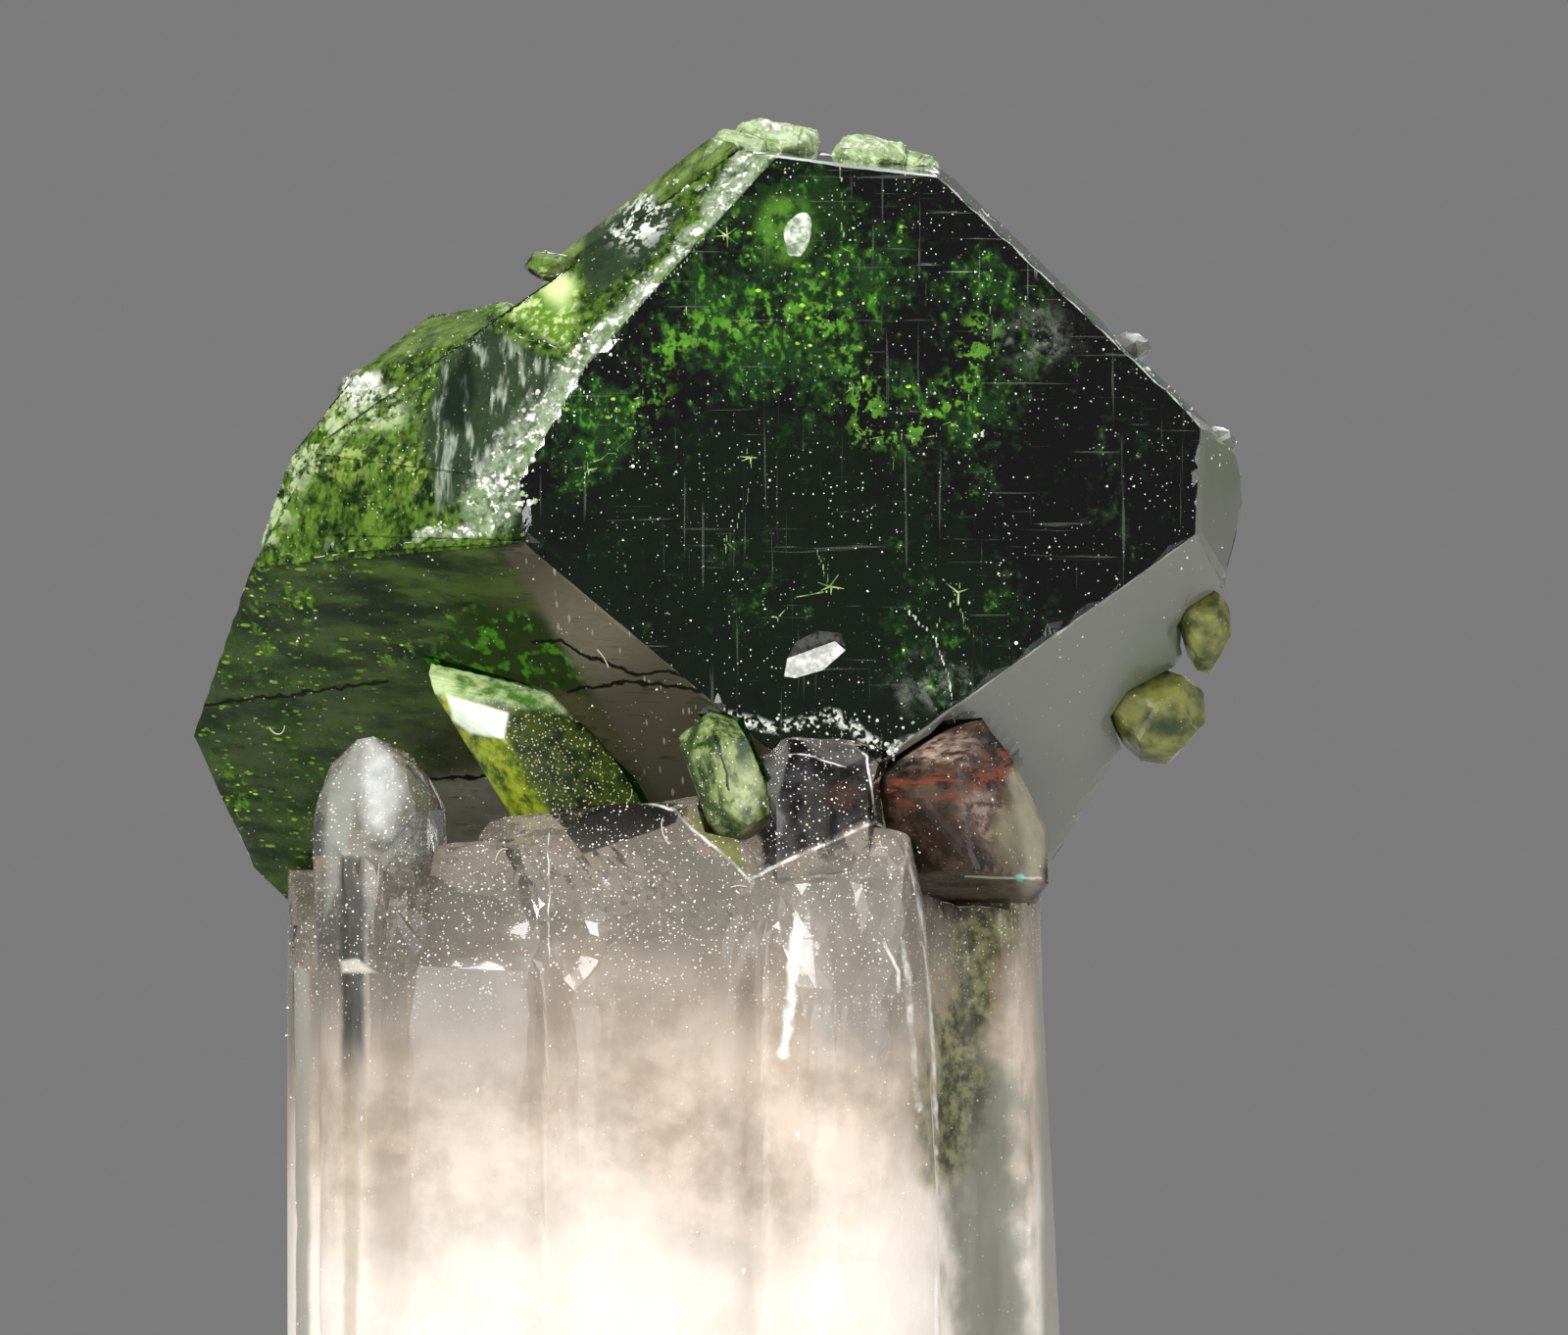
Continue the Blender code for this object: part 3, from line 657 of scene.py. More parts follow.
# %% Upper left finish
FROST_LINES = (
    ((0.48, 16.90), (-0.05, 16.18), 0.25),
    ((-0.05, 16.18), (-0.80, 15.24), 0.11),
    ((-0.80, 15.24), (-1.68, 14.30), 0.19),
    ((-1.70, 14.26), (-2.21, 13.44), 0.22),
    ((-2.21, 13.44), (-2.81, 12.54), 0.42),
    ((-2.78, 12.30), (-3.62, 12.14), 0.10),
)
UPPER_RIM = ((-2.16, 15.50), (-1.58, 15.90), (-0.62, 16.50), (0.12, 17.02))
LEFT_RIND = ((-5.57, 12.24), (-5.18, 13.08), (-4.64, 13.62), (-3.98, 13.74))
LEFT_TRIANGLE = ((-2.81, 14.98), (-2.09, 15.58), (-1.66, 15.26), (-1.80, 14.50))
TOP_SLIVER = ((-4.20, 14.23), (-3.62, 14.86), (-2.88, 14.93), (-2.81, 14.71))
STRIPED_FACE = ((-2.82, 14.69), (-1.78, 14.23), (-2.16, 13.54), (-2.72, 12.98), (-3.41, 12.46), (-3.60, 13.44), (-3.41, 14.26))
DARK_LENS = ((-3.36, 14.02), (-3.05, 14.50), (-2.95, 13.94), (-3.10, 13.44), (-3.36, 13.56))
INNER_FACE = ((-1.63, 15.94), (-0.86, 16.37), (-0.38, 16.14), (-0.77, 15.58), (-1.51, 15.12), (-1.70, 15.41))


def frost_strip(f):
    """The frosted strip as a mask."""
    return f.most(*(f.ribbon(start, end, width, 0.6, 0.16, 2.5) for start, end, width in FROST_LINES))


def upper_finish():
    """The thin crystals of the upper left, bright with painted light."""
    u = Uvite("uvite_upper", tint=(0.95, 1.0, 0.80, 1.0), rough=0.10, gloss=0.1)
    f = u.f
    mottle = 0.45 * f.noise(1.8, 5.0, rough=0.7) + 0.55 * f.noise(9.0, 3.0, (1.0, 1.0, 0.7), rough=0.75)
    green = f.blend(f.step(mottle, 0.38, 0.64), (0.004, 0.018, 0.003, 1.0), (0.10, 0.19, 0.020, 1.0))
    u.layer(0.80 + 0.15 * f.step(mottle, 0.4, 0.6), green, 0.3)
    # Painted light: yellow-green patches where light comes through the thin left part.
    bright = f.most(f.patch((-4.64, 13.44), (1.0, 0.9), 0.9, 0.35), f.patch((-3.86, 12.96), (0.6, 0.4), 0.9, 0.3) * 0.8)
    yellow = f.blend(f.noise(4.0, 6.0, rough=0.72), (0.03, 0.09, 0.010, 1.0), (0.50, 0.62, 0.15, 1.0))
    u.layer(bright * f.step(f.noise(6.5, 5.0, (1.0, 1.0, 0.7), rough=0.75), 0.49, 0.62) * 0.9, yellow, 0.3)
    # Painted glints: bright green sparks.
    sparks = specks(f, 9.0, 0.6, 0.26) * f.step(f.noise(5.0, 6.0, rough=0.7), 0.46, 0.58)
    u.layer(sparks * (0.3 + 0.7 * bright), (0.52, 0.72, 0.16, 1.0), 0.3)
    rind = f.path(LEFT_RIND, 0.36, 0.9, 0.3) * f.step(f.noise(4.0, 7.0, rough=0.75), 0.44, 0.58)
    u.layer(rind * 0.8, (0.46, 0.55, 0.30, 1.0), 0.5)
    # Painted rim light along the upper rim and the top sliver.
    light = f.blend(f.noise(3.0, 5.0), (0.03, 0.10, 0.006, 1.0), (0.32, 0.42, 0.12, 1.0))
    rims = f.most(f.path(UPPER_RIM, 0.24, 0.8, 0.12), f.area(TOP_SLIVER, 0.06, 0.06) * 0.8)
    u.layer(rims * (0.3 + 0.6 * f.step(f.noise(4.0, 6.0), 0.4, 0.6)), light, 0.35)
    # Painted light: the thin triangle painted pale and bright where light comes through it.
    lit = f.most(f.patch((-1.92, 15.22), (0.30, 0.40), 0.9, 0.2), f.step(f.noise(7.0, 5.0, rough=0.75), 0.45, 0.65) * 0.7)
    thin = f.blend(lit, (0.10, 0.21, 0.015, 1.0), (0.68, 0.80, 0.36, 1.0))
    u.layer(f.area(LEFT_TRIANGLE, 0.10, 0.10) * 0.9, thin, 0.35)
    dark = f.blend(f.noise(3.0, 6.0, rough=0.7), (0.004, 0.010, 0.004, 1.0), (0.040, 0.065, 0.034, 1.0))
    u.layer(f.most(f.area(STRIPED_FACE, 0.07, 0.07), f.area(INNER_FACE, 0.08, 0.10)) * 0.92, dark, 0.2)
    upright = f.step(f.noise(3.6, 4.0, (2.2, 1.0, 0.3), (0.0, 0.1, 0.0)), 0.50, 0.70)
    misty = f.area(STRIPED_FACE, 0.1, 0.05) * upright
    u.layer(misty * 0.7, (0.40, 0.46, 0.36, 1.0), 0.5)
    u.layer(f.area(DARK_LENS, 0.06, 0.05) * 0.8, (0.004, 0.009, 0.005, 1.0), 0.2)
    chalk = f.patch((-0.98, 16.02), (0.5, 0.5), 0.9, 0.25) * f.step(f.noise(6.0, 6.0, rough=0.75), 0.50, 0.58)
    rim = f.patch((-4.38, 13.98), (0.36, 0.34), 0.8, 0.2) * f.step(f.noise(5.0, 6.0, rough=0.75), 0.44, 0.56)
    strip = frost_strip(f)
    grains = f.step(f.noise(11.0, 5.0, rough=0.75), 0.42, 0.60)
    clumps = f.step(f.noise(2.6, 6.0, rough=0.75), 0.40, 0.60)
    milky = f.blend(f.noise(7.0, 6.0, rough=0.75), (0.04, 0.09, 0.03, 1.0), (0.56, 0.63, 0.45, 1.0))
    u.layer(strip * (0.15 + 0.35 * grains + 0.50 * clumps), milky, 0.45)
    u.dust(0.2, chalk, rim, strip * f.step(f.noise(7.0, 6.0, rough=0.8), 0.56, 0.62))
    return u.done()


def knob_finish():
    """The pale rough knobs of the top."""
    u = Uvite("uvite_knob", tint=(0.97, 1.0, 0.85, 1.0), rough=0.2)
    f = u.f
    pale = f.blend(f.noise(4.0, 6.0, rough=0.7), (0.10, 0.24, 0.02, 1.0), (0.66, 0.76, 0.44, 1.0))
    u.layer(0.55 + 0.4 * f.step(f.noise(2.0, 5.0, rough=0.7), 0.30, 0.60), pale, 0.35)
    u.dust(0.2)
    return u.done()


def side_finish():
    """Sides and back: clear green with painted flashes of light and thin dust."""
    u = Uvite("uvite_side")
    u.flashes(u.f.step(u.f.noise(0.5, 3.0), 0.4, 0.6), 0.7)
    u.dust(0.14)
    return u.done()


def pocket_finish():
    """The hollow at the foot of the front face, covered dark with painted shade, and dusty."""
    u = Uvite("uvite_pocket", gloss=0.2)
    f = u.f
    # Painted shade: the faces inside the hollow are covered dark.
    dark = f.blend(f.noise(3.0, 5.0), (0.004, 0.006, 0.004, 1.0), (0.030, 0.028, 0.018, 1.0))
    u.layer(0.7 + 0.3 * f.noise(2.0), dark, 0.3)
    u.dust(0.2)
    return u.done()


# %% [markdown]
# The main crystal carries one finish for each kind of face. A face is known by the way it points, or by where
# it lies. The rough faces get small triangles, so that their unevenness is real shape.

# %% Main crystal
SIDE, FRONT, OLIVE, GREY, UPPER, KNOB, POCKET = range(7)
MAIN_NORMALS = {
    FRONT: (0.20, -0.97, 0.12),
    OLIVE: (-0.37, -0.77, -0.53),
    GREY: (0.56, -0.66, -0.51),
}
KNOB_SIZE = 0.5
POCKET_LOW, POCKET_HIGH = (1.42, 7.44), (3.76, 10.02)


def kind_of(face):
    """The finish of one flat face of the main crystal."""
    spot = face.calc_center_median() / MM
    for finish, normal in MAIN_NORMALS.items():
        if face.normal.dot(Vector(normal).normalized()) > 0.995:
            return finish
    if spot.z > 16.75 and face.calc_area() < KNOB_SIZE * MM * MM:
        return KNOB
    if POCKET_LOW[0] < spot.x < POCKET_HIGH[0] and POCKET_LOW[1] < spot.z < POCKET_HIGH[1]:
        return POCKET
    if face.normal.y > -0.12:
        return SIDE
    if spot.x < 0.9 and spot.z > 11.8:
        return UPPER
    return SIDE if spot.x < 5.0 else GREY


def frosted(spot):
    """1 on the frosted strip, 0 beside it."""
    place = Vector((spot.x, spot.z))
    best = 0.0
    for start, end, width in FROST_LINES:
        near, along = intersect_point_line(place, Vector(start), Vector(end))
        near = Vector(start).lerp(Vector(end), min(1.0, max(0.0, along)))
        best = max(best, min(1.0, max(0.0, 1.6 - (place - near).length / width)))
    return best


def build_main():
    """The main crystal, each kind of face with its own finish."""
    bm = copy_of("main_uvite")
    for face in bm.faces:
        face.material_index = kind_of(face)
    refine(bm, 0.16, (UPPER, KNOB))
    wear(bm, 0.05, 1)
    roughen(bm, (KNOB,), 0.035, 6.0, 1)
    roughen(bm, (UPPER,), 0.035, 6.0, 1, frosted)
    materials = [
        side_finish(),
        front_finish(),
        olive_finish(),
        grey_finish(),
        upper_finish(),
        knob_finish(),
        pocket_finish(),
    ]
    return finished("dark_green_crystal", bm, materials, "green_crystal", "main_uvite")


build_main()


# %% [markdown]
# The small crystals are thin, so they are bright green all through. The one that leans on the left has a
# milky end face, a white facet beside it that is a painted highlight, and a crust of glittering dust; its left
# side is clear yellow-green.

# %% Small green crystals
PAINTED_HIGHLIGHT_FACET = ((-3.31, 10.22), (-2.57, 10.00), (-2.60, 9.68), (-3.02, 9.74), (-3.24, 9.90))


def leaning_finish():
    """The leaning crystal on the left."""
    u = Uvite("uvite_leaning", tint=(0.95, 1.0, 0.70, 1.0), rough=0.15, gloss=0.2)
    f = u.f
    u.flashes(0.8, 0.85)
    body = f.blend(f.step(f.noise(3.4, 6.0, rough=0.7), 0.36, 0.64), (0.005, 0.013, 0.002, 1.0), (0.045, 0.075, 0.006, 1.0))
    u.layer(0.95, body, 0.5)
    side = f.beyond((-1.92, 8.45), (-2.72, 9.96), 0.08, 0.05)
    yellow = f.blend(f.step(f.noise(3.5, 6.0, rough=0.72), 0.34, 0.66), (0.02, 0.06, 0.003, 1.0), (0.34, 0.42, 0.02, 1.0))
    u.layer(side * 0.9, yellow, 0.35)
    end = f.beyond((-3.32, 10.22), (-1.76, 9.98), 0.06, 0.06)
    milky = f.blend(f.step(f.noise(3.0, 6.0, rough=0.7), 0.36, 0.64), (0.06, 0.17, 0.02, 1.0), (0.50, 0.62, 0.30, 1.0))
    u.layer(end * 0.8, milky, 0.5)
    # Painted highlight: the white facet near the end.
    highlight_facet = f.area(PAINTED_HIGHLIGHT_FACET, 0.03, 0.03)
    u.layer(highlight_facet, f.blend(f.noise(6.0, 4.0), (0.55, 0.64, 0.46, 1.0), (0.90, 0.95, 0.82, 1.0)), 0.45)
    crust = f.most(specks(f, 13.0, 0.6, 0.2), specks(f, 24.0, 0.8, 0.28))
    crust = crust * (1.0 - highlight_facet) * (1.0 - 0.8 * side) * (1.0 - 0.8 * end)
    u.layer(crust, f.blend(f.noise(9.0), (0.52, 0.42, 0.12, 1.0), GOLD_DUST), 0.6)
    return u.done()


def pale_finish():
    """The thin light green crystals."""
    u = Uvite("uvite_pale", tint=(0.97, 1.0, 0.85, 1.0), rough=0.15, gloss=0.3)
    f = u.f
    mottle = f.noise(4.2, 7.0, (1.3, 1.0, 0.7), (0.0, -0.3, 0.0), 0.72)
    glow = f.blend(f.step(mottle, 0.36, 0.64), (0.018, 0.048, 0.007, 1.0), (0.27, 0.33, 0.11, 1.0))
    u.layer(0.70 + 0.25 * f.step(f.noise(2.0, 6.0, rough=0.7), 0.30, 0.62), glow, 0.35)
    rim = f.path(((-0.24, 9.94), (-0.35, 9.48), (-0.24, 9.02), (0.16, 8.66)), 0.09, 0.7, 0.08)
    u.layer(rim * 0.9, (0.012, 0.035, 0.006, 1.0), 0.3)
    ripe = f.patch((0.34, 9.00), (0.28, 0.50), 0.9, 0.12) * f.step(f.noise(6.0, 6.0, rough=0.7), 0.36, 0.60)
    u.layer(ripe * 0.8, (0.46, 0.50, 0.28, 1.0), 0.4)
    crack = f.path(((-0.01, 9.70), (0.07, 9.42), (0.16, 9.05)), 0.022, 0.5, 0.05, 6.0)
    u.layer(crack, (0.006, 0.010, 0.004, 1.0), 0.3)
    u.dust(0.6)
    return u.done()


def blurred_finish():
    """The yellow-green crystals at the right."""
    u = Uvite("uvite_yellow", tint=(0.97, 1.0, 0.75, 1.0), rough=0.15, gloss=0.3)
    f = u.f
    glow = f.blend(f.step(f.noise(2.6, 5.0), 0.34, 0.66), (0.020, 0.035, 0.008, 1.0), (0.21, 0.22, 0.05, 1.0))
    u.layer(0.70 + 0.2 * f.step(f.noise(1.5, 4.0), 0.2, 0.5), glow, 0.4)
    u.dust(0.08)
    return u.done()


SMALL = (
    ("small_uvite_left", leaning_finish),
    ("small_uvite_centre", pale_finish),
    ("small_uvite_right_upper", blurred_finish),
    ("small_uvite_right_lower", blurred_finish),
)


def build_small():
    """The small crystals with their worn edges."""
    for number, (node, finish) in enumerate(SMALL):
        bm = copy_of(node)
        refine(bm, 0.08)
        wear(bm, 0.03, number + 2)
        roughen(bm, (0,), 0.006, 8.0, number)
        finished(node.replace("small_uvite", "green_crystal"), bm, [finish()], "light_green_crystal", node)


build_small()

# %% [markdown]
# The quartz is clear at its tips, where golden dust lies, and turns milky further down, where countless tiny
# bubbles scatter the light. The milk is a pale layer that a cloudy mask mixes in by height; towards the foot it
# glows with painted light. Behind on the right green and brown grains show, and a dark clear stripe stands beside
# the slim prism. On the front lie painted glints, a painted highlight streak and a painted bright facet near the
# slim tip.

# %% Quartz finish
QUARTZ_IOR = 1.544
QUARTZ_ABSORB = ((0.93, 0.90, 0.86, 1.0), 150.0)
SLIM_TIP = ((-4.32, 9.84), (-3.50, 9.12), (-3.50, 8.16), (-4.82, 8.16), (-4.92, 9.12))
# Outline of a painted highlight on the slim prism's tip.
SLIM_PAINTED_HIGHLIGHT = ((-4.32, 9.70), (-3.96, 9.48), (-3.86, 9.12), (-4.01, 8.57), (-4.22, 8.57), (-4.37, 9.12))
SLIM_LEFT = ((-4.39, 9.65), (-4.42, 8.76), (-4.56, 7.92), (-4.76, 7.56), (-4.76, 9.12))
DARK_CRYSTAL = ((0.52, 9.65), (1.00, 9.86), (1.84, 9.48), (1.93, 8.74), (0.40, 8.00), (0.16, 8.40), (0.55, 8.88))
DARK_LEFT_FACET = ((0.53, 9.12), (0.60, 9.65), (0.84, 9.74), (0.89, 9.48), (0.72, 8.86))
DARK_TOP_FACET = ((0.89, 9.79), (1.42, 9.79), (1.82, 9.46), (1.56, 9.34), (1.18, 9.50))
OLIVE_WEDGE = ((-0.38, 8.81), (0.19, 8.74), (0.38, 8.02), (0.04, 8.30))
SMOKY_FACE = ((1.15, 8.06), (2.23, 8.28), (2.44, 7.20), (2.38, 6.00), (1.78, 5.70), (1.08, 6.24))
PALE_RIDGES = (
    (((-1.10, 8.94), (-0.50, 8.81), (0.40, 7.97), (1.90, 8.66), (2.28, 8.57)), 0.030),
    (((0.52, 9.60), (1.00, 9.84), (1.42, 9.82), (1.82, 9.46), (1.93, 8.76)), 0.022),
    (((0.89, 9.48), (1.20, 9.46), (1.56, 9.34)), 0.014),
    (((2.28, 8.57), (2.50, 7.56), (2.62, 6.24), (2.69, 4.56), (2.69, 2.38)), 0.040),
    (((2.28, 7.20), (2.38, 6.12), (2.45, 5.16)), 0.060),
    (((-2.06, 8.52), (-2.04, 6.90)), 0.012),
    (((2.02, 7.20), (2.20, 6.84), (2.23, 6.60)), 0.030),
)
# Path of a painted highlight streak.
PAINTED_HIGHLIGHT_STREAK = ((0.97, 7.32), (0.91, 6.60), (0.82, 5.83))
STRIPE_CHIP = ((-4.58, 6.98), (-4.39, 7.01), (-4.15, 6.84), (-4.56, 6.84))
STAIN = ((3.52, 8.04), (3.22, 6.96), (2.88, 5.52), (2.81, 4.56))
DARK_STRIPE = ((-4.58, 8.26), (-4.30, 8.26), (-4.27, 4.68), (-4.56, 4.68))


def quartz_finish(name, front):
    """Clear at the tips, milky towards the foot with painted glints and a painted glow; the front has its stains, its
    dust and two painted highlights.
    """
    f = Finish(name)
    x, z = f.plane(0.6, 0.5)
    normal = f.bump(f.noise(6.0, 4.0, (0.3, 0.3, 2.0)), 0.002)
    q = Layers(f, (1.0, 0.98, 0.95, 1.0), 0.03, QUARTZ_IOR, normal, 0.3)
    milk = f.step(z + 3.0 * f.noise(0.45, 6.0) - 0.12 * x, 9.6, 6.4)
    pale = f.blend(f.step(f.noise(0.9, 6.0, rough=0.6), 0.34, 0.66), (0.38, 0.305, 0.235, 1.0), (0.70, 0.58, 0.47, 1.0))
    cream = f.blend(f.noise(1.3, 6.0, rough=0.65), (0.68, 0.58, 0.49, 1.0), (0.96, 0.90, 0.82, 1.0))
    pale = f.blend(f.step(z + 3.0 * f.noise(0.4, 5.0), 6.6, 4.4), pale, cream)
    if front:
        slim = f.area(SLIM_TIP, 0.10, 0.05)
        smoke = f.step(z, 9.4, 7.4) * 0.55 * (1.0 - slim)
        q.layer(smoke, f.blend(f.noise(1.2, 5.0), (0.075, 0.072, 0.062, 1.0), (0.26, 0.245, 0.21, 1.0)), 0.3)
    # The milk is darkened a little towards the foot, where the painted glow takes over.
    q.layer(milk * 0.97, f.blend(0.3 * f.step(z, 6.8, 4.8), pale, (0.0, 0.0, 0.0, 1.0)), 0.3)
    # Painted glints: small bright specks in the milk.
    glints = f.step(f.noise(4.0, 4.0, (1.6, 1.0, 0.8), rough=0.7), 0.70, 0.74) * milk
    q.layer(glints * 0.8, (0.96, 0.93, 0.88, 1.0), 0.15)
    if front:
        dark = f.blend(f.step(f.noise(3.0, 5.0), 0.4, 0.7), (0.006, 0.006, 0.007, 1.0), (0.045, 0.045, 0.045, 1.0))
        q.layer(f.area(DARK_CRYSTAL, 0.04, 0.04) * 0.92, dark, 0.2)
        facets = f.most(f.area(DARK_LEFT_FACET, 0.03, 0.04), f.area(DARK_TOP_FACET, 0.03, 0.04) * 0.8)
        q.layer(facets * 0.6, f.blend(f.noise(5.0, 5.0), (0.03, 0.03, 0.03, 1.0), (0.26, 0.25, 0.23, 1.0)), 0.2)
        ruddy = f.patch((1.56, 8.98), (0.36, 0.22), 0.8, 0.15) * f.step(f.noise(4.0, 6.0), 0.40, 0.60)
        q.layer(ruddy * 0.5, (0.075, 0.035, 0.026, 1.0), 0.3)
        q.layer(f.area(OLIVE_WEDGE, 0.05, 0.05) * 0.9, f.blend(f.noise(4.0), (0.03, 0.045, 0.008, 1.0), (0.25, 0.25, 0.07, 1.0)), 0.3)
        smoky = f.blend(f.noise(2.0, 6.0, (1.5, 1.0, 0.5)), (0.050, 0.050, 0.046, 1.0), (0.22, 0.21, 0.19, 1.0))
        q.layer(f.area(SMOKY_FACE, 0.35, 0.4) * 0.6, smoky, 0.25)
        q.layer(slim * 0.55, f.blend(f.noise(3.0, 5.0), (0.07, 0.075, 0.06, 1.0), (0.30, 0.31, 0.26, 1.0)), 0.25)
        # Painted highlight: a bright facet near the slim prism's tip.
        tip = f.blend(f.noise(5.0, 5.0, (1.6, 1.0, 0.6)), (0.22, 0.225, 0.21, 1.0), (0.86, 0.87, 0.84, 1.0))
        q.layer(f.area(SLIM_PAINTED_HIGHLIGHT, 0.16, 0.10) * 0.8, tip, 0.2)
        q.layer(f.area(SLIM_LEFT, 0.06, 0.05) * 0.6, f.blend(f.noise(3.0), (0.20, 0.21, 0.18, 1.0), (0.42, 0.43, 0.38, 1.0)), 0.3)
        tan = f.blend(f.noise(3.0, 6.0, rough=0.7), (0.10, 0.085, 0.05, 1.0), (0.42, 0.35, 0.24, 1.0))
        q.layer(f.ribbon((-4.44, 5.76), (-4.46, 1.68), 0.12, 0.6, 0.06) * 0.7, tan, 0.3)
        broken = 0.6 + 0.35 * f.step(f.noise(2.2, 6.0, (1.0, 1.0, 0.5), rough=0.7), 0.36, 0.5)
        stripe = f.area(DARK_STRIPE, 0.05, 0.06) * broken * f.step(z, 5.0, 6.4)
        q.layer(stripe, f.blend(f.noise(5.0), (0.008, 0.009, 0.007, 1.0), (0.055, 0.055, 0.045, 1.0)), 0.5)
        q.layer(f.area(STRIPE_CHIP, 0.03, 0.03) * 0.8, (0.55, 0.50, 0.42, 1.0), 0.4)
        grey = f.most(f.ribbon((4.24, 6.72), (4.30, 0.72), 0.36, 0.4), f.ribbon((-5.18, 6.72), (-5.18, 0.72), 0.22, 0.4))
        q.layer(grey * 0.85, (0.27, 0.265, 0.225, 1.0), 0.3)
        dull = f.ribbon((3.22, 5.28), (3.46, 0.72), 0.75, 0.7, 0.4)
        streaks = f.noise(2.0, 5.0, (2.0, 1.0, 0.4), (0.0, 0.5, 0.0))
        q.layer(dull * 0.85, f.blend(streaks, (0.10, 0.11, 0.08, 1.0), (0.30, 0.31, 0.26, 1.0)), 0.3)
        stain = f.path(STAIN, 0.62, 0.8, 0.4, 1.2)
        grains = f.blend(f.step(f.noise(3.2, 6.0, rough=0.75), 0.36, 0.66), (0.022, 0.030, 0.010, 1.0), (0.26, 0.26, 0.12, 1.0))
        rusty = f.patch((3.58, 6.72), (0.35, 0.8), 0.9, 0.3)
        grains = f.blend(rusty * 0.7, grains, (0.22, 0.13, 0.05, 1.0))
        q.layer(stain * 0.92, grains, 0.3)
        q.layer(f.patch((2.88, 7.86), (0.55, 0.50), 0.7, 0.25) * 0.9, (0.022, 0.016, 0.012, 1.0), 0.4)
        ridges = f.most(*(f.path(places, width, 0.8, 0.06) for places, width in PALE_RIDGES))
        q.layer(ridges * (0.15 + 0.75 * f.step(f.noise(3.0, 6.0), 0.42, 0.60)), (0.80, 0.78, 0.73, 1.0), 0.25)
        # Painted highlight: a bright upright streak.
        highlight_streak = f.path(PAINTED_HIGHLIGHT_STREAK, 0.09, 0.9, 0.07, 4.0) * (0.5 + 0.5 * f.step(f.noise(5.0, 5.0), 0.36, 0.5))
        q.layer(highlight_streak, (0.95, 0.95, 0.93, 1.0), 0.2)
        open_part = 1.0 - f.most(stripe, stain, dull, grey)
    else:
        open_part = 1.0
    # Painted glow: emission on the milk at the foot, though the quartz is no lamp.
    q.painted_glow(f.blend(milk * f.step(z, 6.8, 4.8) * open_part, (0.0, 0.0, 0.0, 1.0), pale), 0.35)
    tips = f.step(z + 1.2 * f.noise(0.8, 4.0), 6.6, 7.6)
    crust = f.most(specks(f, 12.0, 0.45, 0.2), specks(f, 22.0, 0.45, 0.24)) * tips
    gold = f.blend(f.noise(9.0, 2.0), GOLD_DUST, (0.92, 0.92, 0.88, 1.0))
    q.layer(f.most(crust, dust_mask(f, 0.15)), gold, 0.6)
    return f.done(q.surface(), QUARTZ_ABSORB)


MELT_TOP = 8.0
MELT_STEPS = 60


def build_quartz():
    """The quartz cluster; further down its prisms melt into each other."""
    bm = copy_of("quartz_cluster")
    for face in bm.faces:
        face.material_index = 0 if face.normal.y < -0.05 else 1
    refine(bm, 0.2)
    wear(bm, 0.05, 9)
    for step in range(MELT_STEPS):
        level = MELT_TOP * (1.0 - (step / MELT_STEPS) ** 2)
        low = [vert for vert in bm.verts if vert.co.z < level * MM]
        bmesh.ops.smooth_vert(bm, verts=low, factor=0.5, use_axis_x=True, use_axis_y=True)
    finishes = [quartz_finish("quartz_front", True), quartz_finish("quartz_back", False)]
    return finished("quartz_prisms", bm, finishes, "clear_quartz", "quartz_cluster")


build_quartz()


# %% [markdown]
# The crystal at the right of the foot is stained by iron: dark and clear below, with red level bands above and
# a cream edge on its right.

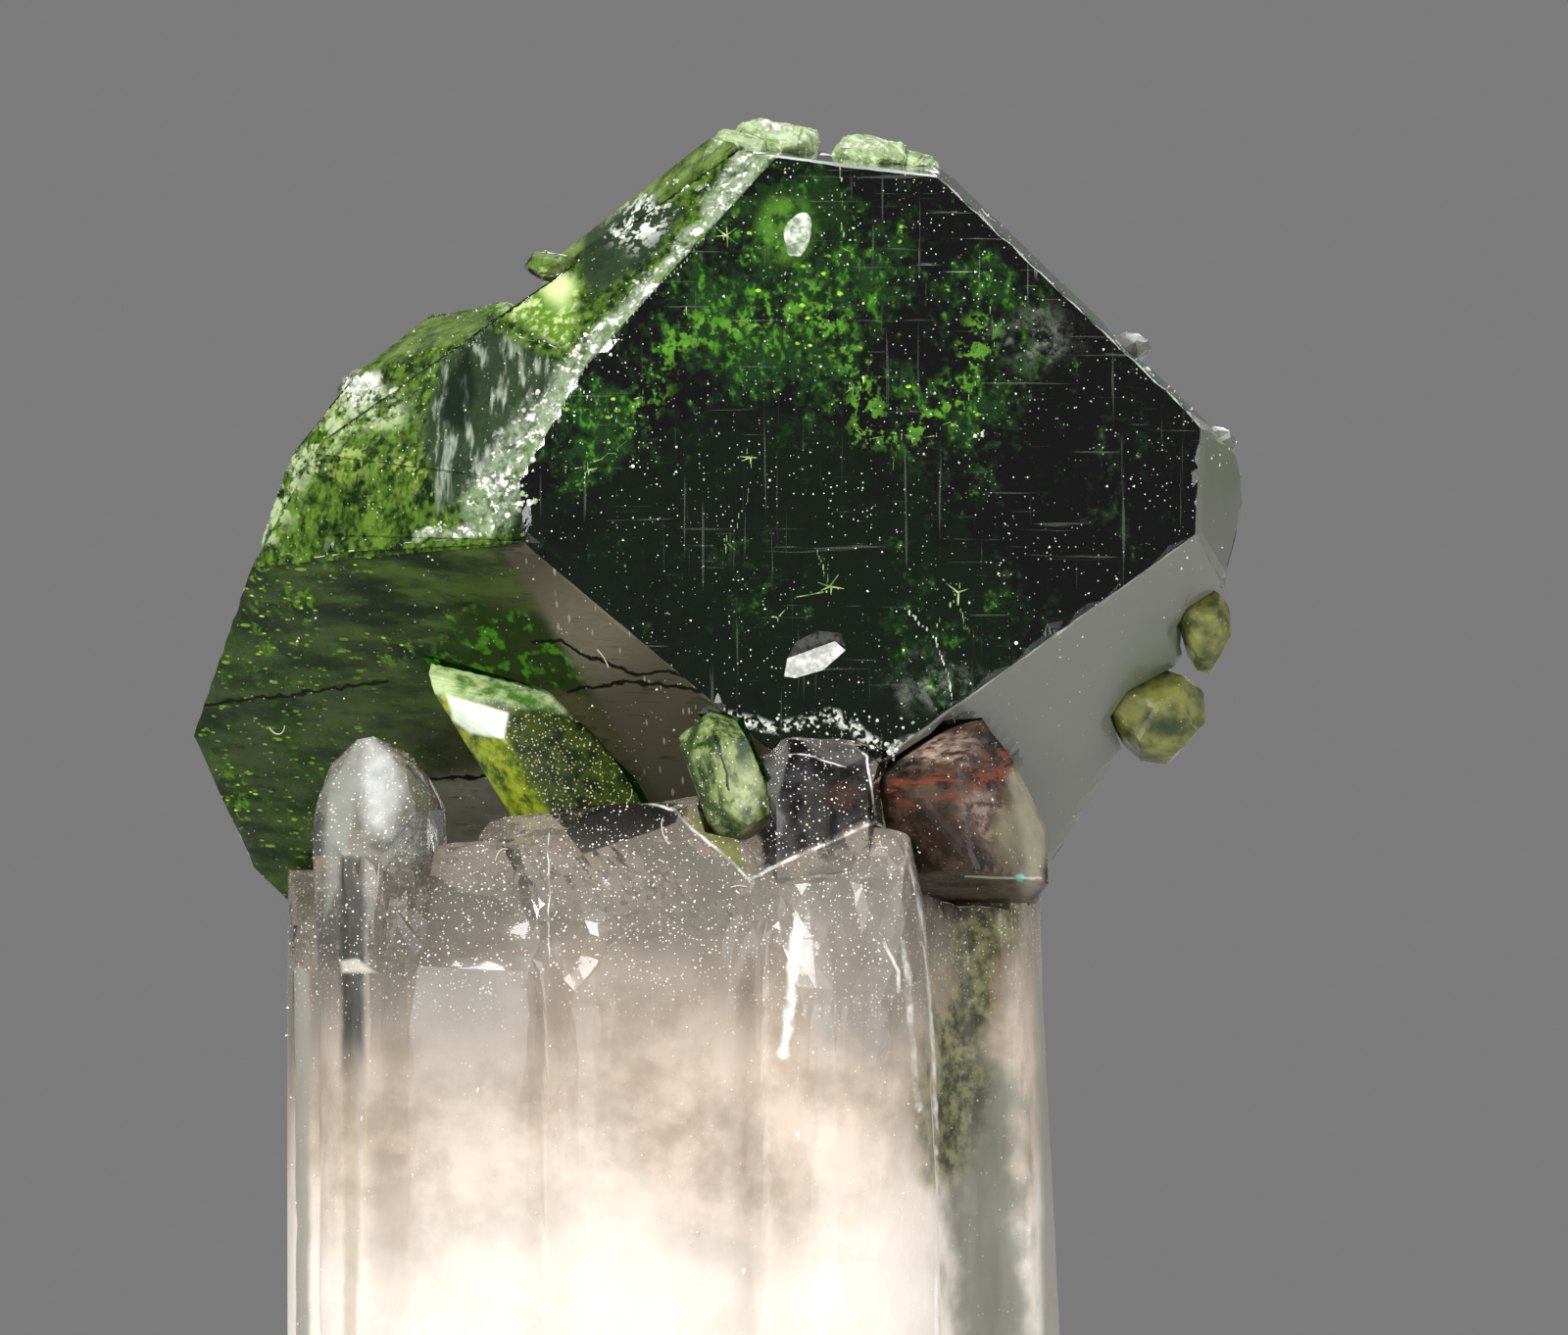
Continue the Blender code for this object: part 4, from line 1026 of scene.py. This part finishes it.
# %% Stained crystal
def stained_finish():
    """Dark clear crystal with red bands."""
    f = Finish("iron_stain")
    s = Layers(f, (0.95, 0.85, 0.75, 1.0), 0.06, QUARTZ_IOR, f.bump(f.noise(6.0, 4.0), 0.002), 0.25)
    clouds = f.step(f.noise(2.8, 6.0, rough=0.7), 0.36, 0.66)
    s.layer(0.75 + 0.2 * clouds, f.blend(clouds, (0.006, 0.004, 0.003, 1.0), (0.075, 0.045, 0.028, 1.0)), 0.4)
    pinkish = f.most(f.patch((2.68, 9.54), (0.75, 0.32), 0.9, 0.3), f.patch((3.28, 8.76), (0.5, 0.5), 0.9, 0.3) * 0.6)
    mottle = f.step(f.noise(5.0, 7.0, (0.7, 1.0, 1.3), rough=0.75), 0.38, 0.62)
    s.layer(pinkish * 0.9, f.blend(mottle, (0.040, 0.016, 0.011, 1.0), (0.42, 0.30, 0.24, 1.0)), 0.4)
    olive = f.patch((3.64, 8.52), (0.4, 0.6), 0.8, 0.2)
    s.layer(olive * 0.8, f.blend(f.noise(2.5, 5.0), (0.06, 0.06, 0.03, 1.0), (0.30, 0.28, 0.17, 1.0)), 0.35)
    level = f.step(f.noise(4.0, 6.0, (0.22, 1.0, 2.6), (0.0, 0.25, 0.0), 0.7), 0.50, 0.60)
    red_zone = f.path(((2.20, 8.98), (2.92, 9.12), (3.64, 9.42)), 0.30, 0.8, 0.2)
    rust = f.blend(f.noise(8.0, 4.0), (0.05, 0.008, 0.004, 1.0), (0.25, 0.055, 0.022, 1.0))
    s.layer(red_zone * level * 0.95, rust, 0.4)
    cream = f.path(((3.74, 9.18), (3.89, 8.64), (3.84, 7.98)), 0.26, 0.8, 0.14)
    s.layer(cream * 0.85, f.blend(f.noise(3.0, 4.0), (0.13, 0.125, 0.07, 1.0), (0.40, 0.37, 0.28, 1.0)), 0.4)
    s.layer(f.patch((2.81, 8.50), (0.50, 0.45), 0.8, 0.2) * 0.85, (0.018, 0.007, 0.005, 1.0), 0.4)
    s.layer(f.ribbon((3.04, 7.99), (3.96, 7.97), 0.018, 0.5, 0.02) * 0.7, (0.50, 0.52, 0.45, 1.0), 0.4)
    s.layer(f.patch((3.70, 7.98), (0.07, 0.07), 0.6, 0.03) * 0.8, (0.16, 0.50, 0.44, 1.0), 0.4)
    s.layer(f.most(dust_mask(f, 0.25), specks(f, 5.0, 0.2, 0.10)), DUST_WHITE, 0.6)
    return f.done(s.surface(), ((0.85, 0.60, 0.45, 1.0), 600.0))


def build_stained():
    """The stained crystal at the foot of the main one."""
    bm = copy_of("brown_crystal")
    refine(bm, 0.1)
    wear(bm, 0.03, 12)
    return finished("stained_crystal", bm, [stained_finish()], "iron_stained", "brown_crystal")


build_stained()

# %% [markdown]
# Fine things lie on the faces. Each one is set by its place in the picture: a ray from the viewer finds the
# surface behind that place, so that the piece sits on what carries it.

# %% Places on the surface
TOWARDS_VIEW = Vector((0.0, 1.0, 0.0))
FAR = 30.0


def first_hit(origin, way):
    """Where a ray first meets a crystal: the point and the outward normal, in metres."""
    best = None
    for tree in SURFACES.values():
        spot, normal, _, reach = tree.ray_cast(origin, way)
        if spot and (best is None or reach < best[2]):
            best = (spot, normal, reach)
    return best


def behind(place, lift=0.0):
    """The surface behind a picture place (x, z) in mm, raised by `lift`."""
    spot, normal, _ = first_hit(Vector((place[0], -FAR, place[1])) * MM, TOWARDS_VIEW)
    return spot + normal * lift * MM, normal


# %% [markdown]
# Healed cracks show on the dark face as small stars with thin tails, and as beaded veins. They are chains of
# short cones that lie half sunk in the face.

# %% Cracks and veins
CONE_SIDES = 5
VEIN_GAPS = 0.18


def spike(bm, start, end, wide, narrow):
    """A thin cone from one point to another; radii in mm."""
    run = end - start
    turn = run.to_track_quat("Z", "Y").to_matrix().to_4x4()
    bmesh.ops.create_cone(
        bm,
        cap_ends=True,
        segments=CONE_SIDES,
        radius1=wide * MM,
        radius2=narrow * MM,
        depth=run.length,
        matrix=Matrix.Translation((start + end) / 2) @ turn,
    )


def star(bm, place, reach, arms, rng):
    """Thin arms that run out from one place on the face."""
    turn = rng.uniform(0.0, math.pi)
    for arm in range(arms):
        angle = turn + 2 * math.pi * arm / arms + rng.uniform(-0.3, 0.3)
        length = reach * rng.uniform(0.5, 1.2)
        tip = (place[0] + length * math.cos(angle), place[1] + length * math.sin(angle))
        spike(bm, behind(place)[0], behind(tip)[0], 0.013, 0.002)


def vein(bm, places, wide, rng, step=0.09):
    """A beaded line through several places on the face."""
    line = []
    for start, end in zip(places, places[1:]):
        count = max(1, round(math.dist(start, end) / step))
        for k in range(count):
            share = k / count
            shake = 0.35 * step
            x = start[0] + (end[0] - start[0]) * share + rng.uniform(-shake, shake)
            z = start[1] + (end[1] - start[1]) * share + rng.uniform(-shake, shake)
            line.append(behind((x, z))[0])
    line.append(behind(places[-1])[0])
    for k, (start, end) in enumerate(zip(line, line[1:])):
        if rng.random() < VEIN_GAPS:
            continue
        thin = 0.7 - 0.4 * k / len(line)
        spike(bm, start, end, wide * thin * rng.uniform(0.3, 1.3), wide * thin * rng.uniform(0.2, 0.9))


STARS = (
    ((0.11, 15.84), 0.17, 7),
    ((0.40, 13.12), 0.13, 6),
    ((0.13, 12.07), 0.12, 6),
    ((1.38, 11.54), 0.16, 6),
    ((2.95, 11.47), 0.16, 5),
    ((-1.58, 12.96), 0.10, 5),
    ((1.66, 13.98), 0.10, 5),
    ((2.40, 13.38), 0.09, 5),
    ((-0.38, 14.90), 0.07, 5),
    ((-0.92, 13.86), 0.09, 5),
)
GREEN_VEINS = (
    (((0.40, 13.08), (0.36, 12.60), (0.16, 12.10)), 0.010),
    (((1.38, 11.52), (1.00, 11.42), (0.73, 11.11)), 0.018),
    (((1.38, 11.54), (1.25, 11.88), (1.21, 12.00)), 0.012),
    (((2.95, 11.47), (2.68, 11.04)), 0.020),
    (((2.95, 11.40), (3.02, 11.09), (3.17, 10.92)), 0.012),
    (((1.51, 16.66), (1.55, 16.14), (1.56, 15.72), (1.76, 15.40)), 0.022),
    (((1.78, 14.10), (1.68, 13.56), (1.84, 13.30), (2.08, 13.38)), 0.016),
    (((3.24, 14.16), (2.95, 13.62), (2.47, 13.30)), 0.009),
    (((3.36, 15.00), (3.41, 14.58), (3.34, 14.38)), 0.014),
    (((2.26, 13.44), (2.16, 12.96)), 0.009),
    (((-2.16, 13.44), (-2.24, 13.08), (-2.45, 12.82)), 0.014),
    (((-1.88, 12.91), (-1.58, 13.03), (-1.22, 13.18), (-0.98, 13.56)), 0.012),
)
WHITE_VEINS = (
    (((-1.70, 13.98), (-1.44, 13.78), (-1.08, 13.44)), 0.018),
    (((2.21, 11.38), (2.44, 11.12), (2.68, 10.90), (2.76, 10.66), (2.86, 10.32), (2.92, 9.86)), 0.026),
    (((0.64, 16.82), (0.16, 16.26), (-0.35, 15.58)), 0.012),
    (((-0.35, 15.58), (-0.92, 15.00), (-1.58, 14.28)), 0.012),
    (((-1.58, 14.26), (-2.00, 13.56), (-2.40, 12.84)), 0.012),
    (((-5.30, 11.93), (-4.82, 11.92), (-4.16, 12.00), (-3.68, 12.10)), 0.016),
    (((-2.82, 14.71), (-3.02, 14.52), (-3.32, 14.38), (-3.60, 14.10), (-3.68, 13.86)), 0.012),
    (((-2.82, 14.74), (-2.30, 14.58), (-2.04, 14.50), (-1.78, 14.23)), 0.014),
    (((-2.82, 14.71), (-3.14, 14.86), (-3.50, 14.90)), 0.008),
)


def crack_finish(name, pale, bright):
    """Pale crystal grown into a crack."""
    f = Finish(name)
    tone = f.blend(f.step(f.noise(5.0, 6.0, rough=0.75), 0.40, 0.62), pale, bright)
    return f.done(f.shader(Base_Color=tone, Roughness=0.35, IOR=UVITE_IOR))


def build_cracks():
    """Stars and veins, green ones and white ones."""
    rng = random.Random(21)
    bm = bmesh.new()
    for place, reach, arms in STARS:
        star(bm, place, reach, arms, rng)
    for places, wide in GREEN_VEINS:
        vein(bm, places, wide, rng)
    green = crack_finish("healed_crack_green", (0.03, 0.12, 0.01, 1.0), (0.50, 0.66, 0.22, 1.0))
    finished("green_cracks", bm, [green], "light_green_crystal")
    bm = bmesh.new()
    for places, wide in WHITE_VEINS:
        vein(bm, places, wide, rng, 0.06)
    white = crack_finish("healed_crack_white", (0.16, 0.20, 0.13, 1.0), (0.66, 0.68, 0.58, 1.0))
    finished("white_veins", bm, [white], "light_green_crystal")


build_cracks()

# %% [markdown]
# Two flakes catch the eye on the dark face: a frosted oval one near the top, and a chip near the bottom whose
# mirror-like side is painted silver, a painted reflection.

# %% Flakes
OVAL_PLACE = (0.94, 15.78)
OVAL_SIZE = Vector((0.175, 0.035, 0.37))
OVAL_TURN = math.radians(24.0)
CHIP_OUTLINE = ((0.82, 10.44), (0.86, 10.66), (1.44, 10.87), (1.57, 10.76), (1.30, 10.52), (0.96, 10.42))
CHIP_TOP = ((0.86, 10.66), (0.96, 10.86), (1.22, 11.00), (1.51, 10.97), (1.57, 10.80), (1.44, 10.87))
CHIP_THICK = 0.03


def flake_finish(name, low, high, rough):
    """A bright flake, slightly uneven."""
    f = Finish(name)
    tone = f.blend(f.step(f.noise(7.0, 6.0, rough=0.75), 0.36, 0.62), low, high)
    return f.done(f.shader(Base_Color=tone, Roughness=rough, Normal=f.bump(f.noise(18.0, 4.0), 0.006)))


def plate(bm, outline, thick, finish):
    """A thin flat plate with a given outline that lies on the face."""
    made = bmesh.ops.create_circle(bm, cap_ends=True, segments=len(outline), radius=MM)["verts"]
    for vert, place in zip(made, outline):
        vert.co = behind(place, 0.5 * thick)[0]
    face = made[0].link_faces[0]
    face.material_index = finish
    grown = bmesh.ops.extrude_face_region(bm, geom=[face])["geom"]
    moved = [item for item in grown if isinstance(item, bmesh.types.BMVert)]
    bmesh.ops.translate(bm, verts=moved, vec=behind(outline[0])[1] * -thick * MM)


def build_flakes():
    """The frosted oval and the chip."""
    bm = bmesh.new()
    middle, normal = behind(OVAL_PLACE)
    stand = Matrix.Translation(middle) @ Matrix.Rotation(OVAL_TURN, 4, "Y") @ Matrix.Diagonal((*OVAL_SIZE, 1.0))
    made = bmesh.ops.create_icosphere(bm, subdivisions=4, radius=MM, matrix=stand)
    for vert in made["verts"]:
        vert.co += vert.normal * noise.noise(vert.co / MM * 9.0) * 0.012 * MM
    plate(bm, CHIP_OUTLINE, CHIP_THICK, 1)
    plate(bm, CHIP_TOP, CHIP_THICK, 2)
    bmesh.ops.recalc_face_normals(bm, faces=bm.faces[:])
    finishes = [
        flake_finish("frosted_flake", (0.12, 0.17, 0.09, 1.0), (0.56, 0.60, 0.50, 1.0), 0.6),
        # Painted reflection: the chip's mirror-like side is painted silver.
        flake_finish("chip_painted_reflection", (0.34, 0.35, 0.32, 1.0), (0.66, 0.66, 0.63, 1.0), 0.4),
        flake_finish("dark_chip", (0.004, 0.005, 0.004, 1.0), (0.05, 0.05, 0.045, 1.0), 0.4),
    ]
    return finished("bright_flakes", bm, finishes, "light_green_crystal")


build_flakes()

# %% [markdown]
# White lumps of chalky mineral sit along the upper left rim, in the dent of the upper crystal, on the knobs and
# along the foot of the front face. Each is a small ball pushed out of round.

# %% Chalk lumps
LUMP_SPOTS = (
    ((-4.39, 13.99), (0.26, 0.22), 16, 0.085),
    ((-0.77, 16.26), (0.26, 0.16), 14, 0.060),
    ((-1.10, 15.84), (0.16, 0.10), 8, 0.055),
    ((-1.01, 15.26), (0.12, 0.04), 4, 0.035),
    ((-0.50, 16.54), (0.16, 0.08), 5, 0.050),
    ((-2.60, 12.72), (0.42, 0.34), 26, 0.040),
    ((-3.14, 12.24), (0.60, 0.08), 22, 0.035),
    ((-2.06, 13.68), (0.22, 0.30), 12, 0.035),
    ((-1.58, 14.58), (0.26, 0.26), 12, 0.035),
    ((0.66, 17.21), (0.24, 0.05), 10, 0.075),
    ((1.72, 17.00), (0.26, 0.05), 8, 0.060),
    ((-3.78, 14.40), (0.05, 0.03), 2, 0.070),
    ((3.24, 13.37), (0.07, 0.12), 6, 0.035),
    ((1.54, 9.86), (0.80, 0.16), 34, 0.022),
    ((2.08, 9.54), (0.18, 0.14), 10, 0.040),
    ((-2.24, 12.58), (0.08, 0.08), 2, 0.050),
    ((5.23, 14.26), (0.10, 0.14), 5, 0.035),
)


def lump(bm, spot, radius, rng):
    """A ball pushed out of round."""
    stand = Matrix.Translation(spot) @ Matrix.Rotation(rng.uniform(0.0, 3.0), 4, "X")
    made = bmesh.ops.create_icosphere(bm, subdivisions=2, radius=radius * MM, matrix=stand)
    shift = Vector((rng.uniform(0, 50), rng.uniform(0, 50), rng.uniform(0, 50)))
    for vert in made["verts"]:
        out = vert.co - spot
        vert.co = spot + out * (1.0 + 0.7 * noise.noise(out / radius / MM * 1.3 + shift))


def chalk_finish():
    """Chalky white, greyish in places."""
    f = Finish("chalk")
    tone = f.blend(f.step(f.noise(6.0, 5.0), 0.35, 0.65), (0.34, 0.38, 0.28, 1.0), (0.80, 0.82, 0.74, 1.0))
    return f.done(f.shader(Base_Color=tone, Roughness=0.75, Normal=f.bump(f.noise(30.0, 3.0), 0.003)))


def build_lumps():
    """All lumps as one mesh."""
    rng = random.Random(31)
    bm = bmesh.new()
    for middle, spread, count, most in LUMP_SPOTS:
        for _ in range(count):
            place = (middle[0] + rng.gauss(0.0, 0.5 * spread[0]), middle[1] + rng.gauss(0.0, 0.5 * spread[1]))
            hit = first_hit(Vector((place[0], -FAR, place[1])) * MM, TOWARDS_VIEW)
            if hit:
                radius = most * rng.uniform(0.25, 1.0)
                lump(bm, hit[0] - hit[1] * 0.3 * radius * MM, radius, rng)
    return finished("chalk_lumps", bm, [chalk_finish()], "light_green_crystal")


build_lumps()

# %% [markdown]
# Dust lies everywhere, most of it on the tips of the quartz and on the leaning crystal. Each grain is a small
# pyramid. Rays from the front, from above and from all round find the places.

# %% Dust
GRAIN_SIDES = 3
FRONT_RAYS = 8000
ROUND_RAYS = 2600
DENSE_DUST = (
    ((-2.06, 7.86), (2.6, 1.1), 1.0),
    ((1.18, 8.16), (1.6, 1.3), 1.0),
    ((-1.70, 9.48), (0.9, 0.9), 0.9),
    ((0.58, 13.56), (3.6, 3.4), 0.16),
    ((2.02, 9.60), (1.4, 0.6), 0.7),
    ((-2.54, 13.44), (1.4, 1.6), 0.35),
)
THIN_DUST = 0.10


def dust_share(place):
    """How much dust lies at a picture place, from 0 to 1."""
    share = THIN_DUST
    for middle, radii, most in DENSE_DUST:
        reach = math.hypot((place[0] - middle[0]) / radii[0], (place[1] - middle[1]) / radii[1])
        if reach < 1.0:
            share = max(share, most * (1.0 - reach ** 3))
    return share


def grain(bm, spot, normal, rng):
    """One pyramid, turned at random and half sunk."""
    radius = 0.005 + 0.017 * rng.random() ** 4
    turn = Vector((rng.gauss(0, 1), rng.gauss(0, 1), rng.gauss(0, 1))).to_track_quat("Z", "Y")
    bmesh.ops.create_cone(
        bm,
        cap_ends=True,
        segments=GRAIN_SIDES,
        radius1=radius * MM,
        radius2=0.0,
        depth=1.6 * radius * MM,
        matrix=Matrix.Translation(spot + normal * 0.3 * radius * MM) @ turn.to_matrix().to_4x4(),
    )


def dust_finish():
    """White to golden grains."""
    f = Finish("dust")
    tone = f.blend(f.step(f.noise(6.0, 2.0), 0.4, 0.6), DUST_WHITE, GOLD_DUST)
    return f.done(f.shader(Base_Color=tone, Roughness=0.35))


def build_dust():
    """All grains as one mesh."""
    rng = random.Random(5)
    bm = bmesh.new()
    low, high = (Vector(corner) / MM for corner in CAD_BOX)
    for _ in range(FRONT_RAYS):
        place = (rng.uniform(low.x, high.x), rng.uniform(2.0, high.z))
        if rng.random() > dust_share(place):
            continue
        hit = first_hit(Vector((place[0], -FAR, place[1])) * MM, TOWARDS_VIEW)
        if hit:
            grain(bm, hit[0], hit[1], rng)
    for _ in range(ROUND_RAYS):
        turn = rng.uniform(0.0, 2 * math.pi)
        origin = Vector((FAR * math.cos(turn), FAR * math.sin(turn), rng.uniform(0.0, 2 * FAR)))
        target = Vector((rng.uniform(low.x, high.x), rng.uniform(low.y, high.y), rng.uniform(5.0, high.z)))
        hit = first_hit(origin * MM, (target - origin).normalized())
        if hit:
            grain(bm, hit[0], hit[1], rng)
    return finished("dust_grains", bm, [dust_finish()], "light_green_crystal")


build_dust()

# %% [markdown]
# A few curled textile fibres cling to the crystals. Each is a thin round curve through points on the surface,
# made a mesh.

# %% Fibres
FIBRE_RADIUS = 0.007
FIBRES = (
    ((-1.10, 9.20), (-1.03, 9.12), (-1.01, 8.98), (-1.10, 8.88)),
    ((-0.66, 8.70), (-0.70, 8.57), (-0.64, 8.45), (-0.58, 8.38)),
    ((-2.70, 8.18), (-2.68, 8.30), (-2.60, 8.36), (-2.54, 8.33)),
    ((-5.52, 9.82), (-5.45, 9.70), (-5.34, 9.72), (-5.33, 9.84)),
    ((0.17, 7.86), (0.24, 7.90), (0.36, 7.87)),
    ((-1.46, 10.78), (-1.37, 10.70), (-1.32, 10.56)),
    ((3.24, 16.18), (3.31, 16.06), (3.41, 16.03)),
)


def build_fibres():
    """All fibres as one mesh."""
    data = bpy.data.curves.new("fibres", "CURVE")
    data.dimensions = "3D"
    data.bevel_depth = FIBRE_RADIUS * MM
    data.bevel_resolution = 1
    data.use_fill_caps = True
    for places in FIBRES:
        spline = data.splines.new("NURBS")
        spline.points.add(len(places) - 1)
        for point, place in zip(spline.points, places):
            point.co = (*behind(place, 0.02)[0], 1.0)
        spline.use_endpoint_u = True
    curve = link("fibre_curve", data)
    bpy.context.view_layer.update()
    mesh = bpy.data.meshes.new_from_object(curve.evaluated_get(bpy.context.evaluated_depsgraph_get()))
    bpy.data.objects.remove(curve)
    bm = bmesh.new()
    bm.from_mesh(mesh)
    f = Finish("fibre")
    tone = f.blend(f.noise(5.0, 2.0), (0.55, 0.50, 0.40, 1.0), (0.80, 0.78, 0.70, 1.0))
    return finished("fibres", bm, [f.done(f.shader(Base_Color=tone, Roughness=0.6))], "light_green_crystal")


build_fibres()

# %% Sizes and finish
boxes = {"cad": CAD_BOX, "visual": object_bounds()}
{name: [list(corner) for corner in box] for name, box in boxes.items()}
